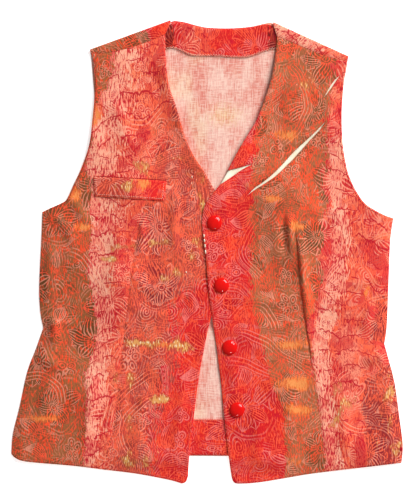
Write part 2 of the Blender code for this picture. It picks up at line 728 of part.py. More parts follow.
def main():
    for old in list(bpy.data.objects):
        bpy.data.objects.remove(old, do_unlink=True)
    build_back()
    build_facings()
    build_fronts()
    build_rip_backing()
    build_welt()
    for index, centre in enumerate(CAP_CENTRES, start=1):
        build_cap(index, centre)


main()
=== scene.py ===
"""The looks of a printed cotton vest, laid flat on its back.

Lengths are in millimetres, as in the part's source, and become metres when a mesh is
made. +X is to the viewer's right, +Y is towards the neck and +Z is up from the table.
"""
import math
from collections import namedtuple

import bpy
import numpy as np
from mathutils.geometry import delaunay_2d_cdt
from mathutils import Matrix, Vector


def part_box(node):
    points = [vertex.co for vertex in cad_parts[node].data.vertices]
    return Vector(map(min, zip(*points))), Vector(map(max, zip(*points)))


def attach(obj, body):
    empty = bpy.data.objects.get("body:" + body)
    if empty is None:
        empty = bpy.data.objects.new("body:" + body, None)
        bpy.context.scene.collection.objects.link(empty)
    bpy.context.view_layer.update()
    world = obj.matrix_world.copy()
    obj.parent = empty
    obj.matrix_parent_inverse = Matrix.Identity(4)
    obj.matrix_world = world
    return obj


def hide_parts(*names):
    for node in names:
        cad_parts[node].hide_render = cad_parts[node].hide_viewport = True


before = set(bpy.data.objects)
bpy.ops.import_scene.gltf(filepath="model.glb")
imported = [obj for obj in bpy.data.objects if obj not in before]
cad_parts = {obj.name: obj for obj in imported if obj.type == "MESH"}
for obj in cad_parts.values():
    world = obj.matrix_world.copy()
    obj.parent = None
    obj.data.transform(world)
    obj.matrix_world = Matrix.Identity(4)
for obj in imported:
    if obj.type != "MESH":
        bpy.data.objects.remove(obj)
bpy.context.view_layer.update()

MM = 0.001

# Camera: straight down, over the middle of the photograph's frame
VIEW_CENTRE = (2.6, 2.6)
VIEW_HEIGHT = 650.0
SENSOR_HEIGHT = 24.0
LENS = 100.0
FACE_LEVEL = 5.0

# Layers, as in the part's source
CLOTH = 1.2
SEAM = 0.3
FRONT_GAP = 2.0
BACKING_CLOTH = 1.0
LAP_LIFT = 1.8
FRONT_LEVEL = CLOTH + FRONT_GAP
FACING_LEVEL = CLOTH + SEAM
SIDE_LEVEL = CLOTH + SEAM
TABLE_CLEARANCE = 0.2
FOLD_RADIUS = (CLOTH + FRONT_GAP) / 2
FOLD_STEPS = 8
SIDE_EASE = 12.0
HEM_EASE = 26.0
LAP_EASE = 13.0
LAP_MARGIN = 3.0
DART_GROOVE = 3.5
DART_SHOULDER = 10.0
DART_DEPTH = 0.8

# Mesh steps
CLOTH_STEP = 2.7
EDGE_STEP = 2.7
BACK_STEP = 5.0
CURVE_SAMPLES = 24
CLEAR_SHARE = 0.52
DOUBLED = 0.05
EDGE_ROUND = 0.8
EDGE_DROP = 0.55
UNDER_DROP_SHARE = 0.3
CLOTH_SHARP_ANGLE = math.radians(50)
DART_LINES = (-4.0, -1.9, -0.8, 0.0, 0.8, 1.9, 4.0)

Fold = namedtuple("Fold", "x1 y1 x2 y2 width height")
Rip = namedtuple("Rip", "x y width")
Shoulder = namedtuple("Shoulder", "tip neck seam")

# Left side of the picture: rows of x, y and the front's inset, then rows of x and y
LEFT_ARMHOLE = (
    (-150.6, 249.6, 2.8), (-148.4, 222.0, 2.2), (-146.9, 201.0, 0.6), (-149.5, 171.6, 0.4),
    (-153.4, 140.4, 0.4), (-163.8, 109.2, 0.4), (-173.5, 88.5, 0.4), (-182.6, 69.0, 0.4),
    (-190.0, 63.4, 0.4), (-204.0, 57.2, 0.4),
)
LEFT_UPPER_SIDE = ((-214.4, 52.0), (-215.8, 16.0), (-218.5, -45.0), (-217.1, -78.0), (-213.2, -98.8))
LEFT_LOWER_SIDE = ((-213.2, -98.8), (-222.3, -124.8), (-234.0, -156.0), (-244.4, -202.8),
                   (-252.6, -236.0), (-254.8, -262.5))
LEFT_SIDE = LEFT_UPPER_SIDE + LEFT_LOWER_SIDE[1:]
LEFT_HEM = ((-254.8, -262.5), (-249.0, -268.2), (-233.0, -273.0), (-175.5, -278.2),
            (-133.9, -283.4), (-92.3, -288.6), (-50.7, -296.4), (-33.0, -301.4))
LEFT_POINT = ((-33.0, -301.4), (-27.5, -299.4), (-24.6, -292.0))
LEFT_FRONT_EDGE = ((-24.6, -292.0), (-22.6, -262.0), (-17.6, -218.4), (-9.8, -158.0),
                   (-2.7, -121.4), (2.6, -96.0), (12.0, -60.0), (18.0, -30.0),
                   (21.0, 0.0), (21.5, 36.0), (18.0, 66.0))
LEFT_NECKLINE = ((18.0, 66.0), (9.1, 81.9), (-3.9, 105.3), (-15.6, 122.2), (-26.7, 145.6),
                 (-35.1, 171.6), (-41.6, 193.7), (-49.4, 217.0), (-52.9, 243.0), (-54.2, 269.0),
                 (-54.2, 283.4))

# Right side of the picture
RIGHT_ARMHOLE = (
    (180.9, 234.0, 0.5), (178.1, 218.4, 0.4), (175.5, 180.0, 0.4), (176.8, 140.4, 0.4),
    (182.0, 109.2, 0.4), (187.2, 93.6, 0.4), (195.0, 78.0, 0.4), (206.7, 62.4, 0.4),
    (227.5, 49.6, 0.4),
)
RIGHT_UPPER_SIDE = ((242.5, 43.8), (238.6, 15.6), (236.6, -31.0), (234.2, -93.6), (230.8, -119.6))
RIGHT_LOWER_SIDE = ((230.8, -119.6), (236.6, -140.4), (244.4, -171.6), (250.9, -218.4),
                    (254.9, -252.0), (253.2, -274.3))
RIGHT_SIDE = RIGHT_UPPER_SIDE + RIGHT_LOWER_SIDE[1:]
RIGHT_HEM = ((253.2, -274.3), (198.9, -280.8), (136.5, -288.6), (105.3, -293.8),
             (74.1, -299.0), (54.0, -301.2), (39.5, -301.6))
RIGHT_POINT = ((39.5, -301.6), (34.6, -299.6), (32.0, -293.0))
RIGHT_FRONT_EDGE = ((32.0, -293.0), (28.0, -265.2), (22.8, -218.4), (17.6, -166.4),
                    (11.0, -114.4), (3.3, -62.4), (-1.3, -10.4), (-5.6, 26.0),
                    (-6.5, 43.0), (-2.6, 61.1), (6.2, 74.1), (16.9, 87.8))
RIGHT_NECKLINE = ((26.7, 106.0), (41.0, 132.6), (55.9, 157.3), (64.4, 171.6), (74.8, 197.6),
                  (83.2, 223.6), (88.4, 249.6), (90.4, 270.0), (91.0, 280.2))

# The back's own edges
BACK_MIDDLE = 20.0
BACK_HEM = ((-254.8, -262.5), (-200.0, -265.4), (0.0, -265.5), (150.0, -268.0), (253.2, -274.3))
BACK_NECK = ((-42.0, 301.2), (-28.6, 299.0), (-9.1, 293.8), (3.9, 291.9), (27.3, 291.2),
             (55.9, 293.2), (78.0, 298.2), (83.0, 298.8))
LEFT_SHOULDER = Shoulder(
    tip=(-152.8, 263.5),
    neck=(-48.0, 301.6),
    seam=((-150.2, 258.0), (-133.9, 258.7), (-119.6, 261.3), (-97.5, 266.5), (-71.5, 275.9),
          (-54.2, 283.4)),
)
RIGHT_SHOULDER = Shoulder(
    tip=(184.4, 254.6),
    neck=(86.6, 299.3),
    seam=((182.8, 248.6), (167.7, 250.9), (146.9, 257.4), (124.8, 266.5), (106.6, 274.3),
          (91.0, 280.2)),
)

# Waist darts, from the point at the bust down to just above the hem
LEFT_DART = ((-88.4, 31.2), (-96.2, -13.0), (-104.0, -75.4), (-110.5, -127.4), (-118.3, -205.4),
             (-126.6, -258.0))
RIGHT_DART = ((111.8, 39.0), (117.0, 9.1), (122.2, -49.4), (129.4, -101.4), (137.8, -156.0),
              (148.9, -231.4), (152.7, -258.0))

# The largest swells of each front, as in the part's source
LEFT_FOLDS = (
    Fold(-96.0, 62.0, -104.0, -36.0, 46.0, 4.6),
    Fold(-150.0, 160.0, -112.0, 78.0, 24.0, 1.4),
    Fold(-58.0, -150.0, -72.0, -292.0, 24.0, 1.9),
    Fold(-186.0, -150.0, -200.0, -262.0, 24.0, 1.9),
    Fold(-110.0, 232.0, -84.0, 150.0, 26.0, 1.2),
)
RIGHT_FOLDS = (
    Fold(108.0, 56.0, 118.0, -34.0, 44.0, 5.6),
    Fold(166.0, 150.0, 132.0, 74.0, 24.0, 1.5),
    Fold(78.0, -140.0, 90.0, -292.0, 24.0, 2.1),
    Fold(196.0, -150.0, 212.0, -268.0, 24.0, 1.9),
    Fold(132.0, 232.0, 116.0, 176.0, 26.0, 1.2),
)

# Rips in the right front
NOTCH_END = (58.8, 114.7)
NOTCH_LOWER = ((16.9, 87.8), (29.9, 96.2), (42.9, 105.3), NOTCH_END)
NOTCH_UPPER = (NOTCH_END, (42.9, 109.9), (26.7, 106.0))
LONG_RIP = (
    Rip(52.0, 73.1, 0.0), Rip(62.4, 82.3, 2.2), Rip(75.4, 91.0, 2.8), Rip(88.4, 101.0, 4.4),
    Rip(101.4, 113.8, 4.8), Rip(111.0, 124.0, 6.1), Rip(120.9, 134.4, 5.0), Rip(133.9, 147.6, 3.0),
    Rip(146.9, 160.8, 2.2), Rip(154.0, 170.3, 0.0),
)
SHORT_RIP = (Rip(152.1, 200.9, 0.0), Rip(159.9, 212.6, 2.4), Rip(166.4, 222.4, 2.4),
             Rip(172.9, 230.1, 0.0))
BACKING_NECK = ((16.4, 86.0), (27.6, 105.4), (42.0, 131.6), (52.0, 148.0))
BACKING_OUTER = ((52.0, 148.0), (100.0, 160.0), (136.0, 198.0), (152.0, 236.0), (170.0, 243.0))
BACKING_ARMHOLE = ((170.0, 243.0), (174.0, 214.0), (170.0, 168.0))
BACKING_INNER = ((170.0, 168.0), (136.0, 128.0), (104.0, 92.0), (64.0, 62.0), (40.0, 64.0),
                 (28.0, 78.0), (16.4, 86.0))

# Facings and the pocket's welt
NECK_FACING_LOWER = ((97.0, 262.0), (87.6, 263.9), (74.8, 260.7), (56.4, 254.3), (40.2, 253.1),
                     (7.8, 254.8), (-19.1, 255.3), (-32.0, 260.7), (-42.9, 265.1),
                     (-53.6, 263.4), (-64.0, 262.0))
NECK_FACING_UPPER = ((-64.0, 289.0), (-44.0, 297.6), (-28.6, 297.4), (-9.1, 292.6), (3.9, 290.7),
                     (27.3, 290.0), (55.9, 292.0), (78.0, 296.4), (97.0, 288.0))
HEM_DEPTH = 47.5
HEM_FACING_REACH = 222.0
HEM_FACING_INSET = 1.0
WELT_CORNERS = ((-147.6, 98.2), (-52.7, 92.3), (-55.3, 66.3), (-146.3, 72.2))

# Snap caps
CAP_RADIUS = 9.75
CAP_SEAT_RADIUS = 11.0
CAP_SEAT_EASE = 10.0
CAP_CENTRES = ((9.6, 37.7), (18.9, -43.6), (29.3, -124.2), (39.0, -205.4))
CAP_NODES = ("snap_cap_1", "snap_cap_2", "snap_cap_3", "snap_cap_4")
CAP_SEATS = [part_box(node)[0][2] / MM for node in CAP_NODES]


def unit(vectors):
    """Vectors brought to length 1."""
    return vectors / np.maximum(1e-9, np.linalg.norm(vectors, axis=-1, keepdims=True))


def ease(value):
    """From 0 to 1 as value goes from 0 to 1, with a soft start and end."""
    clamped = np.clip(value, 0.0, 1.0)
    return clamped * clamped * (3.0 - 2.0 * clamped)


def nearest(points, line):
    """Distance of each point from a line, and how far along the line it is, from 0 to 1."""
    line = np.asarray(line, float)[:, :2]
    steps = np.linalg.norm(np.diff(line, axis=0), axis=1)
    starts = np.concatenate([[0.0], np.cumsum(steps)])
    best = np.full(len(points), np.inf)
    place = np.zeros(len(points))
    for start, end, length, begun in zip(line, line[1:], steps, starts):
        along = (end - start) / length
        share = np.clip((points - start) @ along, 0.0, length)
        reach = np.linalg.norm(points - start - share[:, None] * along, axis=1)
        closer = reach < best
        best = np.where(closer, reach, best)
        place = np.where(closer, begun + share, place)
    return best, place / starts[-1]


def distance_to(points, line):
    return nearest(points, line)[0]


def side_of(points, line):
    """1 for the points to the right of a line that runs down the garment, and -1 to its left."""
    rows = sorted(line, key=lambda row: row[1])
    middle = np.interp(points[:, 1], [row[1] for row in rows], [row[0] for row in rows])
    return np.where(points[:, 0] > middle, 1.0, -1.0)


def inside(points, loop):
    """Which points are inside a closed outline."""
    result = np.zeros(len(points), bool)
    x = points[:, 0]
    y = points[:, 1]
    for a, b in zip(loop, np.roll(loop, -1, axis=0)):
        if a[1] != b[1]:
            crosses = (a[1] > y) != (b[1] > y)
            result ^= crosses & (x < a[0] + (b[0] - a[0]) * (y - a[1]) / (b[1] - a[1]))
    return result


def smooth_curve(rows, step):
    """A smooth curve through rows, with points about one step apart."""
    rows = np.array([row[:2] for row in rows], float)
    ends = np.vstack([rows[:1], rows, rows[-1:]])
    t = np.arange(CURVE_SAMPLES) / CURVE_SAMPLES
    weights = np.column_stack([
        -0.5 * t + t ** 2 - 0.5 * t ** 3,
        1 - 2.5 * t ** 2 + 1.5 * t ** 3,
        0.5 * t + 2 * t ** 2 - 1.5 * t ** 3,
        -0.5 * t ** 2 + 0.5 * t ** 3,
    ])
    spans = [weights @ ends[first:first + 4] for first in range(len(rows) - 1)]
    dense = np.vstack(spans + [rows[-1:]])
    lengths = np.concatenate([[0.0], np.cumsum(np.linalg.norm(np.diff(dense, axis=0), axis=1))])
    wanted = np.linspace(0.0, lengths[-1], max(1, round(lengths[-1] / step)) + 1)
    return np.column_stack([np.interp(wanted, lengths, dense[:, axis]) for axis in (0, 1)])


def loop_of(curves):
    """A closed outline from curves that follow each other, with no doubled corner."""
    rows = np.vstack(curves)
    gaps = np.linalg.norm(rows - np.roll(rows, 1, axis=0), axis=1)
    return rows[gaps > DOUBLED]


def left_normals(line):
    """The way to the left at each point of an open line."""
    along = unit(np.gradient(line, axis=0))
    return np.column_stack([-along[:, 1], along[:, 0]])


def ring_inside(loop, distance):
    """A closed outline moved inward, or outward by a negative distance."""
    before = unit(loop - np.roll(loop, 1, axis=0))
    after = unit(np.roll(loop, -1, axis=0) - loop)
    left_before = np.column_stack([-before[:, 1], before[:, 0]])
    left_after = np.column_stack([-after[:, 1], after[:, 0]])
    bisector = unit(left_before + left_after)
    stretch = 1.0 / np.maximum(0.55, (bisector * left_after).sum(axis=1))
    x, y = loop.T
    turn = np.sign((x * np.roll(y, -1) - np.roll(x, -1) * y).sum())
    return loop + bisector * (stretch * distance * turn)[:, None]


def rip_sides(rips):
    """The middle line of a rip, and its two edges."""
    middle = smooth_curve(rips, EDGE_STEP)
    half = np.interp(middle[:, 0], [rip.x for rip in rips], [rip.width / 2 for rip in rips])
    left = left_normals(middle)
    return middle, middle + left * half[:, None], middle - left * half[:, None]


def rip_loop(rips):
    """The outline of a rip."""
    middle, one, other = rip_sides(rips)
    return np.vstack([middle[:1], other[1:-1], middle[-1:], one[-2:0:-1]])


Plan = namedtuple("Plan", "points faces rim")


def plan_mesh(loop, holes=(), lines=(), step=CLOTH_STEP, edge_round=EDGE_ROUND):
    """Triangles over a flat outline, with a narrow band round each edge so that it can be rounded."""
    outlines = [loop] + list(holes)
    bands = [ring_inside(loop, edge_round)] + [ring_inside(hole, -edge_round) for hole in holes]
    points = []
    edges = []
    count = 0
    for ring in outlines + bands:
        edges += [(count + i, count + (i + 1) % len(ring)) for i in range(len(ring))]
        points.append(ring)
        count += len(ring)
    rim_count = sum(len(ring) for ring in outlines)
    for line in lines:
        edges += [(count + i, count + i + 1) for i in range(len(line) - 1)]
        points.append(line)
        count += len(line)

    low = loop.min(axis=0)
    high = loop.max(axis=0)
    across, down = np.meshgrid(
        np.arange(low[0], high[0], step), np.arange(low[1], high[1], step * math.sqrt(3) / 2))
    across[1::2] += step / 2
    grid = np.column_stack([across.ravel(), down.ravel()])
    grid = grid[inside(grid, bands[0])]
    for hole in bands[1:]:
        grid = grid[~inside(grid, hole)]
    for line in bands + list(lines):
        closed = np.vstack([line, line[:1]]) if any(line is band for band in bands) else line
        near = np.all((grid > closed.min(axis=0) - step) & (grid < closed.max(axis=0) + step), axis=1)
        clear = ~near
        clear[near] = distance_to(grid[near], closed) > step * CLEAR_SHARE
        grid = grid[clear]
    points.append(grid)

    corners, _, faces, origins = delaunay_2d_cdt(
        [tuple(point) for point in np.vstack(points)], edges, [], 0, 1e-4)[:4]
    corners = np.array([tuple(corner) for corner in corners])
    rim = np.array([min(origin, default=rim_count) < rim_count for origin in origins])
    faces = np.array([tuple(face) for face in faces])
    middles = corners[faces].mean(axis=1)
    kept = inside(middles, loop)
    for hole in holes:
        kept &= ~inside(middles, hole)
    faces = faces[kept]
    a, b, c = (corners[faces[:, corner]] for corner in range(3))
    turn = (b - a)[:, 0] * (c - a)[:, 1] - (b - a)[:, 1] * (c - a)[:, 0]
    faces[turn < 0] = faces[turn < 0][:, ::-1]
    used, faces = np.unique(faces, return_inverse=True)
    return Plan(corners[used], faces.reshape(-1, 3), rim[used])


def plan_area(plan):
    """Area of a plan in square metres."""
    a, b, c = (plan.points[plan.faces[:, corner]] for corner in range(3))
    turn = (b - a)[:, 0] * (c - a)[:, 1] - (b - a)[:, 1] * (c - a)[:, 0]
    return float(turn.sum() / 2) * MM ** 2


def link(name, mesh, replaced):
    """An object of the garment that rides with it."""
    piece = bpy.data.objects.new(name, mesh)
    bpy.context.collection.objects.link(piece)
    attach(piece, "root")
    if replaced:
        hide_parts(replaced)
    return piece


def shell(name, plan, lower, upper, finishes, replaced, cut=None):
    """A closed cloth wall over a plan, with its face up, its reverse down and two maps.

    The map called Lay is the plan itself, and Cut is the printed cloth before the darts
    were sewn. finishes are those of the upper side, the underside and the edge.
    """
    count = len(plan.points)
    directed = np.vstack([plan.faces[:, [0, 1]], plan.faces[:, [1, 2]], plan.faces[:, [2, 0]]])
    owners = np.tile(np.arange(len(plan.faces)), 3)
    forward = directed[:, 0] * count + directed[:, 1]
    backward = directed[:, 1] * count + directed[:, 0]
    open_edge = ~np.isin(forward, backward)
    a, b = directed[open_edge].T
    sides = np.column_stack([b, a, a + count, b + count])
    bottom_faces = plan.faces[:, ::-1] + count
    mesh = bpy.data.meshes.new(name)
    mesh.from_pydata(
        np.vstack([upper, lower]) * MM, [],
        plan.faces.tolist() + bottom_faces.tolist() + sides.tolist())
    corners = np.concatenate([plan.faces.ravel(), bottom_faces.ravel(), sides.ravel()]) % count
    lay = plan.points[corners]
    mesh.uv_layers.new(name="Lay").data.foreach_set("uv", (lay * MM).ravel())
    if cut is None:
        shifted = lay
    else:
        middles = plan.points[plan.faces].mean(axis=1)
        edge_middles = middles[owners[open_edge]]
        shift = np.concatenate([
            np.repeat(cut(middles), 3, axis=0),
            np.repeat(cut(middles), 3, axis=0),
            np.repeat(cut(edge_middles), 4, axis=0),
        ])
        shifted = lay + shift
    mesh.uv_layers.new(name="Cut").data.foreach_set("uv", (shifted * MM).ravel())
    numbers = np.repeat([0, 1, 2], [len(plan.faces), len(plan.faces), len(sides)])
    for finish in finishes:
        mesh.materials.append(finish)
    mesh.polygons.foreach_set("material_index", numbers)
    mesh.shade_smooth()
    mesh.set_sharp_from_angle(angle=CLOTH_SHARP_ANGLE)
    return link(name, mesh, replaced)


def lay_piece(name, plan, height, face, under, node, flat, cut=None, thickness=CLOTH):
    """A piece of cloth whose underside is at height, with its edges rounded."""
    z = height(plan.points)
    drop = plan.rim * EDGE_DROP
    lower = np.column_stack([plan.points, z + drop * UNDER_DROP_SHARE])
    upper = np.column_stack([plan.points, z + thickness - drop])
    piece = shell(name, plan, lower, upper, (face, under, face), node, cut)
    declare(plan, flat)
    return piece


def declare(plan, size):
    """Works out a cloth piece's cut size in metres, from millimetres, and its area; nothing is done with
    them.
    """
    flat = (size[0] * MM, size[1] * MM)
    area = min(plan_area(plan), flat[0] * flat[1])


# Forms of the fronts
Crease = namedtuple("Crease", "line width height")

LEFT_CREASES = (
    Crease(((-60.0, 88.0), (-46.0, 89.0), (-36.0, 85.0)), 4.0, -0.9),
    Crease(((-48.0, 100.0), (-41.0, 66.0), (-43.0, 30.0), (-41.0, -14.0)), 6.0, 2.2),
    Crease(((-60.0, 62.0), (-64.0, 20.0), (-74.0, -30.0), (-77.0, -110.0)), 13.0, -1.8),
    Crease(((-86.0, 50.0), (-83.0, 20.0), (-89.0, -12.0)), 5.0, 2.0),
    Crease(((-112.0, 40.0), (-116.0, 0.0), (-122.0, -60.0)), 10.0, 2.0),
    Crease(((-186.0, 80.0), (-170.0, 62.0), (-154.0, 34.0)), 6.0, 2.2),
    Crease(((-206.0, 54.0), (-184.0, 34.0), (-166.0, 2.0)), 7.0, 2.0),
    Crease(((-201.0, 36.0), (-204.0, -14.0), (-204.0, -78.0)), 9.0, 2.0),
    Crease(((-216.0, -90.0), (-194.0, -94.0), (-166.0, -88.0)), 7.0, 2.4),
    Crease(((-201.0, -76.0), (-196.0, -104.0), (-202.0, -134.0)), 7.0, 3.4),
    Crease(((-222.0, -114.0), (-204.0, -118.0), (-182.0, -124.0)), 8.0, -2.0),
    Crease(((-226.0, -136.0), (-204.0, -142.0), (-178.0, -160.0)), 8.0, 2.2),
    Crease(((-196.0, -140.0), (-210.0, -190.0), (-220.0, -250.0)), 10.0, 2.4),
    Crease(((-144.0, -140.0), (-152.0, -200.0), (-160.0, -272.0)), 10.0, 2.6),
    Crease(((-176.0, -170.0), (-184.0, -210.0), (-190.0, -266.0)), 10.0, -2.0),
    Crease(((-84.0, -150.0), (-86.0, -220.0), (-92.0, -280.0)), 10.0, 2.2),
    Crease(((-106.0, -160.0), (-112.0, -220.0), (-122.0, -272.0)), 9.0, -1.8),
    Crease(((-30.0, -140.0), (-34.0, -210.0), (-44.0, -286.0)), 8.0, 1.8),
    Crease(((-104.0, -20.0), (-80.0, -46.0), (-50.0, -58.0)), 7.0, 1.8),
    Crease(((-106.0, -70.0), (-76.0, -82.0), (-34.0, -78.0)), 6.0, 1.6),
    Crease(((-128.0, 206.0), (-110.0, 170.0), (-98.0, 124.0)), 10.0, 2.2),
    Crease(((-142.0, 180.0), (-132.0, 150.0), (-128.0, 112.0)), 9.0, -1.4),
    Crease(((-62.0, 236.0), (-72.0, 190.0), (-64.0, 140.0)), 10.0, -1.6),
)
RIGHT_CREASES = (
    Crease(((106.0, 54.0), (108.0, 28.0), (111.0, -10.0)), 4.2, 2.6),
    Crease(((99.0, 58.0), (99.0, 30.0), (102.0, -10.0)), 4.2, -2.6),
    Crease(((118.0, 44.0), (121.5, 12.0), (127.0, -44.0), (136.0, -110.0)), 5.0, 3.0),
    Crease(((90.0, 56.0), (88.0, 24.0), (94.0, -22.0)), 6.0, 1.0),
    Crease(((126.0, 60.0), (146.0, 52.0), (172.0, 62.0)), 7.0, 2.0),
    Crease(((160.0, 78.0), (153.0, 46.0), (150.0, 4.0)), 7.0, -1.8),
    Crease(((194.0, 84.0), (178.0, 60.0), (162.0, 30.0)), 7.0, 2.0),
    Crease(((236.0, 34.0), (208.0, 18.0), (184.0, -14.0)), 7.0, 2.0),
    Crease(((238.0, -30.0), (212.0, -34.0), (180.0, -48.0)), 7.0, 1.8),
    Crease(((236.0, -60.0), (228.0, -92.0), (222.0, -118.0)), 8.0, -3.0),
    Crease(((216.0, -60.0), (210.0, -84.0), (200.0, -108.0)), 7.0, 2.4),
    Crease(((240.0, -122.0), (226.0, -130.0), (202.0, -148.0)), 7.0, 3.4),
    Crease(((240.0, -148.0), (222.0, -154.0), (200.0, -170.0)), 8.0, -1.8),
    Crease(((228.0, -170.0), (234.0, -210.0), (238.0, -262.0)), 9.0, 2.2),
    Crease(((170.0, -170.0), (178.0, -216.0), (182.0, -276.0)), 9.0, 2.4),
    Crease(((202.0, -180.0), (208.0, -220.0), (212.0, -270.0)), 9.0, -1.8),
    Crease(((104.0, -150.0), (110.0, -210.0), (112.0, -284.0)), 9.0, 2.2),
    Crease(((128.0, -160.0), (136.0, -210.0), (140.0, -270.0)), 8.0, -1.4),
    Crease(((62.0, -190.0), (66.0, -240.0), (66.0, -292.0)), 9.0, 1.8),
    Crease(((122.0, -50.0), (92.0, -66.0), (46.0, -64.0)), 6.0, 1.6),
    Crease(((128.0, -84.0), (96.0, -98.0), (52.0, -92.0)), 6.0, 1.4),
    Crease(((8.0, 30.0), (16.0, -40.0), (30.0, -120.0), (42.0, -210.0), (50.0, -280.0)), 9.0, 1.2),
    Crease(((118.0, 236.0), (104.0, 200.0), (98.0, 160.0)), 10.0, 2.0),
    Crease(((176.0, 198.0), (162.0, 182.0), (150.0, 158.0)), 6.0, 2.0),
    Crease(((150.0, 236.0), (134.0, 206.0), (128.0, 176.0)), 9.0, -1.6),
)
CREASE_TAPER = 0.34
FOLD_STRENGTH = 1.2
# Slow waves of the cloth: the way they run, in waves a metre along x and y, and their height
WAVES = ((7.1, 5.3, 0.9), (-5.2, 9.7, 0.7), (14.3, -3.1, 0.45), (3.7, 17.9, 0.35))
WAVE_OFFSET = 2.1
RIGHT_WAVE_SHIFT = 311.0
SWELL_SOFTNESS = 1.0
NECK_LIFT = 3.6
NECK_LIFT_REACH = 13.0
NECK_LIFT_TAPER = 0.25
SEAM_LIFT_EASE = 34.0
# The left front lies quiet under the right one's edge
LAP_QUIET_EASE = 18.0
LAP_QUIET_START = 0.2
# Darts: shares of the length, counted from the point at the bust
DART_SEAM = 0.9
DART_SEAM_TAPER = 12
DART_STEP_TAPER = 5
DART_FADE_END = 0.8
DART_FADE_LENGTH = 0.5
DART_LEFT_AT_HEM = 0.06
LEFT_DART_SEAM_DEPTH = 0.3
LEFT_DART_STEP = 0.3
RIGHT_DART_SEAM_DEPTH = 0.8
RIGHT_DART_STEP = 2.4
DART_STEP_WIDTH = 9.0
DART_PUCKER = 0.22
DART_PUCKER_PITCH = 9.0
EDGE_WAVE = 0.35
EDGE_WAVE_PITCH = 26.0
EDGE_WAVE_REACH = 9.0
# Between these heights, the right front's edge sinks towards the back
EDGE_REST = 1.6
EDGE_REST_REACH = 13.0
EDGE_REST_TOP = -60.0
EDGE_REST_TOP_EASE = 50.0
EDGE_REST_LOW = -268.0
EDGE_REST_LOW_EASE = 30.0
# The lips of the rips: the ridge's distance from the rip's middle, its width and its heights
LIP_REACH = 6.2
LIP_WIDTH = 3.0
LIP_TAPER = 0.2
LIP_HEIGHT = 1.6
LOW_LIP_HEIGHT = 0.6
LIP_LINES = ((LONG_RIP, 1.0), (SHORT_RIP, 0.6), (NOTCH_LOWER, -0.7), (NOTCH_UPPER, 0.3))


def swells(points, folds):
    """Height added by the swells of a front."""
    total = np.zeros(len(points))
    for fold in folds:
        line = ((fold.x1, fold.y1), (fold.x2, fold.y2))
        total += fold.height * np.exp(-(distance_to(points, line) / fold.width) ** 2)
    return total


def dart_form(points, dart, step, seam_depth):
    """A dart: a sewn groove between two soft shoulders, puckered, with one side higher."""
    reach, share = nearest(points, dart)
    groove = np.exp(-(reach / DART_GROOVE) ** 2)
    shoulder = np.exp(-(reach / DART_SHOULDER) ** 2)
    seam = np.exp(-(reach / DART_SEAM) ** 2) * np.minimum(1.0, DART_SEAM_TAPER * share)
    length = math.dist(dart[0], dart[-1])
    pucker = np.sin(2 * math.pi * share * length / DART_PUCKER_PITCH + 1.7 * np.sin(14 * share))
    fading = ease((DART_FADE_END - share) / DART_FADE_LENGTH)
    above_hem = DART_LEFT_AT_HEM + (1 - DART_LEFT_AT_HEM) * fading
    raised = np.where(side_of(points, dart) > 0, step, 0.0)
    fold_over = raised * ease(DART_STEP_TAPER * share) * above_hem
    return (DART_DEPTH * (shoulder - groove) - seam_depth * seam * above_hem
            + fold_over * np.exp(-(reach / DART_STEP_WIDTH) ** 2)
            + DART_PUCKER * pucker * (shoulder - groove) * 2)


def creased(points, creases):
    """Height added by creases, each fading out towards its ends."""
    total = np.zeros(len(points))
    for crease in creases:
        reach, share = nearest(points, crease.line)
        fade = ease(share / CREASE_TAPER) * ease((1 - share) / CREASE_TAPER)
        total += FOLD_STRENGTH * crease.height * fade * np.exp(-(reach / crease.width) ** 2)
    return total


def waves(points):
    total = np.zeros(len(points))
    for along_x, along_y, height in WAVES:
        phase = 2 * math.pi * (points[:, 0] * along_x + points[:, 1] * along_y) * MM
        total += height * np.sin(phase + WAVE_OFFSET * along_x)
    return total


def neck_roll(points, neckline, seam):
    """The neckline stands a little off the back, and comes down to the shoulder seam."""
    reach, share = nearest(points, neckline)
    roll = np.exp(-(reach / NECK_LIFT_REACH) ** 2) * ease(share / NECK_LIFT_TAPER)
    return NECK_LIFT * roll * ease(distance_to(points, seam) / SEAM_LIFT_EASE)


def edge_wave(points, edge):
    """A cut and turned edge doesn't lie quite flat."""
    reach, share = nearest(points, edge)
    length = math.dist(edge[0], edge[-1])
    phase = 2 * math.pi * share * length / EDGE_WAVE_PITCH
    ripple = 1 + np.sin(phase + 2 * np.sin(phase * 0.31))
    return EDGE_WAVE * ripple * np.exp(-(reach / EDGE_WAVE_REACH) ** 2)


def front_height(points, side, folds, sewn, finer):
    """Underside of a front: the solid's form, with the finer creases added."""
    swell = swells(points, folds) + finer
    swell = (swell + np.sqrt(swell ** 2 + SWELL_SOFTNESS)) / 2 + sewn
    settle = ease(distance_to(points, side) / SIDE_EASE)
    height = SIDE_LEVEL + (FRONT_LEVEL + swell - SIDE_LEVEL) * settle
    hem_y = np.interp(points[:, 0], [row[0] for row in BACK_HEM], [row[1] for row in BACK_HEM])
    drop = ease((hem_y - points[:, 1]) / HEM_EASE)
    return height + (TABLE_CLEARANCE + EDGE_WAVE - height) * drop


def edge_at(rows, y):
    """The x of an edge that runs down the garment, at the heights y."""
    rows = sorted(rows, key=lambda row: row[1])
    return np.interp(y, [row[1] for row in rows], [row[0] for row in rows])


